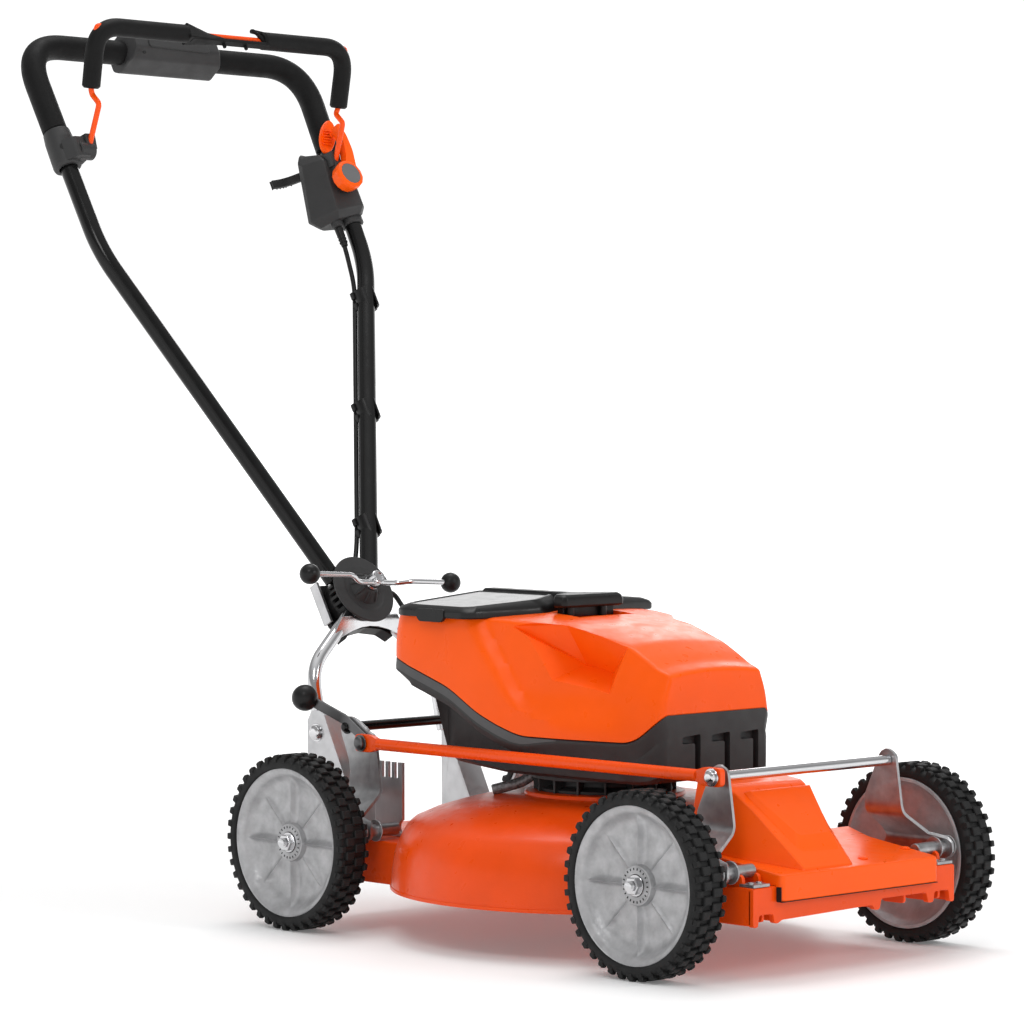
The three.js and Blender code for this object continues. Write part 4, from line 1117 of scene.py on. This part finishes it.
def start_lever():
    """Faceted drum with a flared ring, an arm up the outside and a dished, ribbed finger pad."""
    profile = [(0, -8.6), (18, -8.6), (19, -11), (21, -22), (20.2, -26.6), (15.6, -28), (15.2, -26.4),
               (0, -26.4)]
    drum = softened(lathe(profile, "y", (208, 0, 602), 14, closed=False), 0.7, 2, 18)
    outline = fillet([(206, 616), (222, 604), (228, 640), (227, 662), (222, 682), (215, 680), (217, 655),
                      (213, 632)], 5, 4)
    limb = extrude(outline, "y", -26, -13, soft=2.2, segments=3)
    neck = sweep([(221, -20, 672), (221, -12, 675), (219, -5, 674)], 3.6, bend=4, sides=16)
    layers = []
    for reach, depth in ((0.2, 2.8), (0.72, 2.1), (0.94, 0.0), (1.0, 0.8), (1.0, 2.6), (0.9, 4.0)):
        ring = []
        for k in range(32):
            angle = 2 * math.pi * k / 32
            up = 25 * reach * math.sin(angle)
            ring.append((213 + 14 * reach * math.cos(angle) + 0.42 * up, -6.0 - 0.1 * up + depth, 672.5 + up))
        layers.append(ring)
    ribs = [sweep([(206 + 0.42 * h, -4.3 - 0.1 * h, 671 + h), (220 + 0.42 * h, -4.3 - 0.1 * h, 671 + h)], 1.0,
                  sides=10, end=0.4) for h in range(-9, 12, 4)]
    return merged(drum, limb, neck, skin(layers), *ribs)


build("start_lever_moulding", ["start_lever"], start_lever(), where=HANDLE)
build("start_lever_insert", [], disc(15.2, -27.6, -26.0, "y", (208, 0, 602), 48, 0.5), where=HANDLE,
      slot="grey_plastic",
      body="start", look=INSERT)


def thumb_lever():
    """Short curved blade with grip ribs along its outer face."""
    route = [(197, 38), (180, 57), (170, 64), (159, 68)]
    inner = fillet(route, 8, 5, closed=False)
    outer = fillet([(201, 43), (183, 62), (172, 69.5), (160, 73)], 8, 5, closed=False)
    plate = extrude(inner + outer[::-1], "z", 635, 647, soft=1.2)
    ribs = [sweep([(x, y, 634.6), (x, y, 647.4)], 0.9, sides=10, end=0.3)
            for x, y in (outer[3], outer[6], outer[8], outer[10], outer[12], outer[-1])]
    return merged(plate, *ribs)


build("thumb_lever_moulding", ["thumb_lever"], thumb_lever(), where=HANDLE)


# ---- Cables and clips ----
def cable_x(s):
    return 29 + (s - 20) * (221 - 29) / 470


def control_cable():
    line = [(201, 22, 548), (201, 24, 514), (cable_x(460) - 11, 28.7, 460), (cable_x(80) - 11, 28.7, 80),
            (16, 27, 32)]
    cable = sweep(line, 3.1, bend=22, sides=16, steps=8)
    relief = lathe(fillet([(3, 519), (4.4, 519), (5.8, 545.5), (3, 545.5)], 0.5, 2), "z", (201, 23, 0), 28)
    collars = [lathe(fillet([(3, z), (5.6, z), (5.6, z + 1.6), (3, z + 1.6)], 0.4, 2), "z", (201, 23, 0),
                     24) for z in (524, 529, 534, 539)]
    return merged(cable, relief, *collars)


def clip(s):
    """Snap clip round the tube, with two jaws towards the outside."""
    at = cable_x(s)
    jaw = []
    for k in range(27):
        angle = math.radians(-60 + 300 * k / 26)
        jaw.append((at + 14.4 * math.cos(angle), TUBE_Y + 14.4 * math.sin(angle)))
    inner = []
    for k in range(26, -1, -1):
        angle = math.radians(-60 + 300 * k / 26)
        inner.append((at + 11.7 * math.cos(angle), TUBE_Y + 11.7 * math.sin(angle)))
    ring = extrude(jaw + inner, "z", s - 13, s + 13, soft=0.6)
    lugs = [block(at + a - 3, at + a + 3, TUBE_Y + b - 3, TUBE_Y + b + 3, z0, z1, 1.0)
            for a, b in ((-14, 6), (14, 5)) for z0, z1 in ((s - 13, s - 3), (s + 3, s + 13))]
    return merged(ring, *lugs)


build("control_cable_run", ["control_cable"], control_cable(), *[clip(s) for s in (97, 265, 434)],
      where=HANDLE)


# ---- Presence bail ----
FOOT = (206, -48, 690)
CORNER = (207, -97, 752)
bail_half = [(221, -4, 624), (205, -4, 624), (203, -50, 666), (203, -43, 684), FOOT, CORNER]
flip = lambda p: (-p[0], p[1], p[2])
bail_line = [flip(p) for p in bail_half] + bail_half[::-1]
build("bail_wire", ["bail_rod"], sweep(bail_line, 3.6, bend=5, sides=20, steps=5), where=HANDLE)


def bail_grip(side, inner_end):
    line = [(side * x, y, z) for x, y, z in (FOOT, CORNER)] + [(side * inner_end, CORNER[1], CORNER[2])]
    return sweep(line, 11.8, bend=36, sides=40, steps=16, end=2.6)


def bridge():
    """Flat web between the grips: wedge, narrow blade, pegs and a forked end."""
    y, z = CORNER[1], CORNER[2]
    wedge = skin([
        [(-66, y - 11, z - 11), (-66, y + 11, z - 11), (-66, y + 11, z + 11), (-66, y - 11, z + 11)],
        [(-30, y - 9, z - 11), (-30, y + 6, z - 11), (-30, y + 4, z + 1), (-30, y - 4, z + 3)],
        [(4, y - 7, z - 11), (4, y + 3, z - 11), (4, y + 2, z - 7), (4, y - 5, z - 6)],
    ])
    blade = extrude(fillet([(-60, y - 8), (66, y - 8), (72, y - 3), (66, y + 3), (-60, y + 3)], 3, 3), "z",
                    z - 11.5, z - 7, soft=1.4)
    fork = [sweep([(68, y - 3, z - 9), (52, y - 6, z + 8), (46, y - 6, z + 11)], 2.6, bend=4, sides=16,
                  end=0.8),
            sweep([(46, y - 4, z + 11), (72, y - 2, z + 9), (86, y, z + 8)], 3.0, bend=4, sides=16, end=0.8)]
    pegs = [disc(2.4, z - 17, z - 10, "z", (x, y - 1, 0), 16) for x in (-6, 30)]
    return merged(softened(wedge, 1.6, 3, 20), blade, *fork, *pegs)


build("bail_grip_moulding_right", ["bail_grip_right"], bail_grip(-1, 62), bridge(), where=HANDLE)
build("bail_grip_moulding_left", ["bail_grip_left"], bail_grip(1, 62), where=HANDLE)


# ---- Small parts under the housing ----
def motor_mount():
    ring = lathe(fillet([(52, 171), (79, 170), (80, 177), (68, 181), (66, 193.4), (52, 193.4)], 1.2, 3),
                 "z", (0, DECK_Y, 0), 96)
    flange = lathe(fillet([(62, 189), (88, 189), (88, 193.4), (62, 193.4)], 0.8, 2), "z", (0, DECK_Y, 0), 96)
    ribs = [turned(block(62, 84, DECK_Y - 1.4, DECK_Y + 1.4, 172, 190, 0.5), 22.5 * k, "Z", (0, DECK_Y, 0))
            for k in range(16)]
    return merged(ring, flange, *ribs)


build("motor_mount_ring", ["motor_mount"], motor_mount())
build("cable_sleeve_braid", ["cable_sleeve"],
      sweep([(-57, 60, 189), (-66, 70, 180), (-90, 94, 171)], 6.4, bend=8, sides=28))
cable_hub = [HUB @ Vector(p) for p in ((29.6, 36, 2), (80, 36, 14), (86, 33, -22))]
to_design = DESIGN.inverted()
build("motor_cable_run", ["motor_cable"],
      sweep([tuple(to_design @ p) for p in cable_hub] + [(60, 330, 352), (48, 205, 350)], 3.1, bend=18,
            sides=16, steps=8))


# ---- CAD nodes that keep their shape ----
for name, node in NODES.items():
    if name.startswith(("blade", "rotor", "battery", "motor_controller", "motor_stator", "notch",
                        "retainer", "rear_bracket")):
        node.data.materials.clear()
        node.data.materials.append(LOOKS[SLOT[name]])
        weld = node.modifiers.new("weld", "WELD")
        weld.merge_threshold = 0.00002
        edge = node.modifiers.new("edges", "BEVEL")
        edge.width = 0.0006 if "battery" not in name else 0.004
        edge.segments = 3
        edge.angle_limit = math.radians(35)
        smooth = node.modifiers.new("normals", "WEIGHTED_NORMAL")
        smooth.keep_sharp = True


# ---- Floor, light and camera ----
def set_stage():
    mesh = bpy.data.meshes.new("floor")
    size = 60.0
    mesh.from_pydata([(-size, -size, 0), (size, -size, 0), (size, size, 0), (-size, size, 0)], [],
                     [(0, 1, 2, 3)])
    floor = bpy.data.objects.new("floor", mesh)
    bpy.context.scene.collection.objects.link(floor)
    pale = look("floor_pale", (0.9, 0.9, 0.9), 0.7, shade=0.004, bump=0.01, specular=0.1)
    nodes, links = pale.node_tree.nodes, pale.node_tree.links
    # Painted light: the floor glows, its emission strength rising from 0.12 near the middle to 0.75 from 4.5
    # m out, so the far floor stays bright.
    place, reach, glow = (nodes.new("ShaderNode" + kind) for kind in ("TexCoord", "VectorMath", "MapRange"))
    reach.operation = "LENGTH"
    for socket, value in {"From Min": 0.8, "From Max": 4.5, "To Min": 0.12, "To Max": 0.75}.items():
        glow.inputs[socket].default_value = value
    links.new(place.outputs["Object"], reach.inputs[0])
    links.new(reach.outputs["Value"], glow.inputs["Value"])
    links.new(glow.outputs["Result"], nodes["Principled BSDF"].inputs["Emission Strength"])
    nodes["Principled BSDF"].inputs["Emission Color"].default_value = (1, 1, 1, 1)
    mesh.materials.append(pale)

    world = bpy.data.worlds.new("studio")
    bpy.context.scene.world = world
    world.use_nodes = True
    tree = world.node_tree
    place = tree.nodes.new("ShaderNodeTexCoord")
    split = tree.nodes.new("ShaderNodeSeparateXYZ")
    ramp = tree.nodes.new("ShaderNodeValToRGB")
    stops = [(0.0, 1.0), (0.2, 1.0), (0.32, 0.3), (0.6, 0.4), (1.0, 1.0)]  # height, brightness
    while len(ramp.color_ramp.elements) < len(stops):
        ramp.color_ramp.elements.new(0.5)
    for element, (height, bright) in zip(ramp.color_ramp.elements, stops):
        element.position = height
        element.color = (bright, bright, bright, 1)
    tree.links.new(place.outputs["Generated"], split.inputs["Vector"])
    tree.links.new(split.outputs["Z"], ramp.inputs["Fac"])
    tree.links.new(ramp.outputs["Color"], tree.nodes["Background"].inputs["Color"])
    tree.nodes["Background"].inputs["Strength"].default_value = 1.12

    def area(name, spot, target, size, power):
        lamp = bpy.data.lights.new(name, "AREA")
        lamp.shape = "DISK"
        lamp.size = size
        lamp.energy = power
        item = bpy.data.objects.new(name, lamp)
        item.location = spot
        item.rotation_euler = (Vector(target) - Vector(spot)).to_track_quat("-Z", "Y").to_euler()
        bpy.context.scene.collection.objects.link(item)

    area("key", (-2.6, -1.6, 3.0), (0, 0, 0.4), 1.2, 22)
    area("front", (0.9, -3.4, 2.0), (0, 0, 0.4), 1.0, 24)
    area("top", (0.6, 0.6, 3.6), (0, 0, 0.3), 2.0, 34)
    area("rim", (2.6, 1.8, 1.8), (0, 0, 0.5), 1.2, 12)


def set_camera():
    data = bpy.data.cameras.new("camera")
    data.sensor_width = 36
    data.lens = 36 * 4296.16 / 1024
    data.clip_end = 100
    camera = bpy.data.objects.new("camera", data)
    camera.location = (-3.5822, -3.7804, 0.687)
    azimuth, dip = math.radians(43.96), math.radians(2.05)
    ahead = Vector((math.sin(azimuth) * math.cos(dip), math.cos(azimuth) * math.cos(dip), -math.sin(dip)))
    camera.rotation_euler = ahead.to_track_quat("-Z", "Y").to_euler()
    bpy.context.scene.collection.objects.link(camera)
    bpy.context.scene.camera = camera


set_stage()
set_camera()
bpy.context.scene.view_settings.view_transform = "Standard"
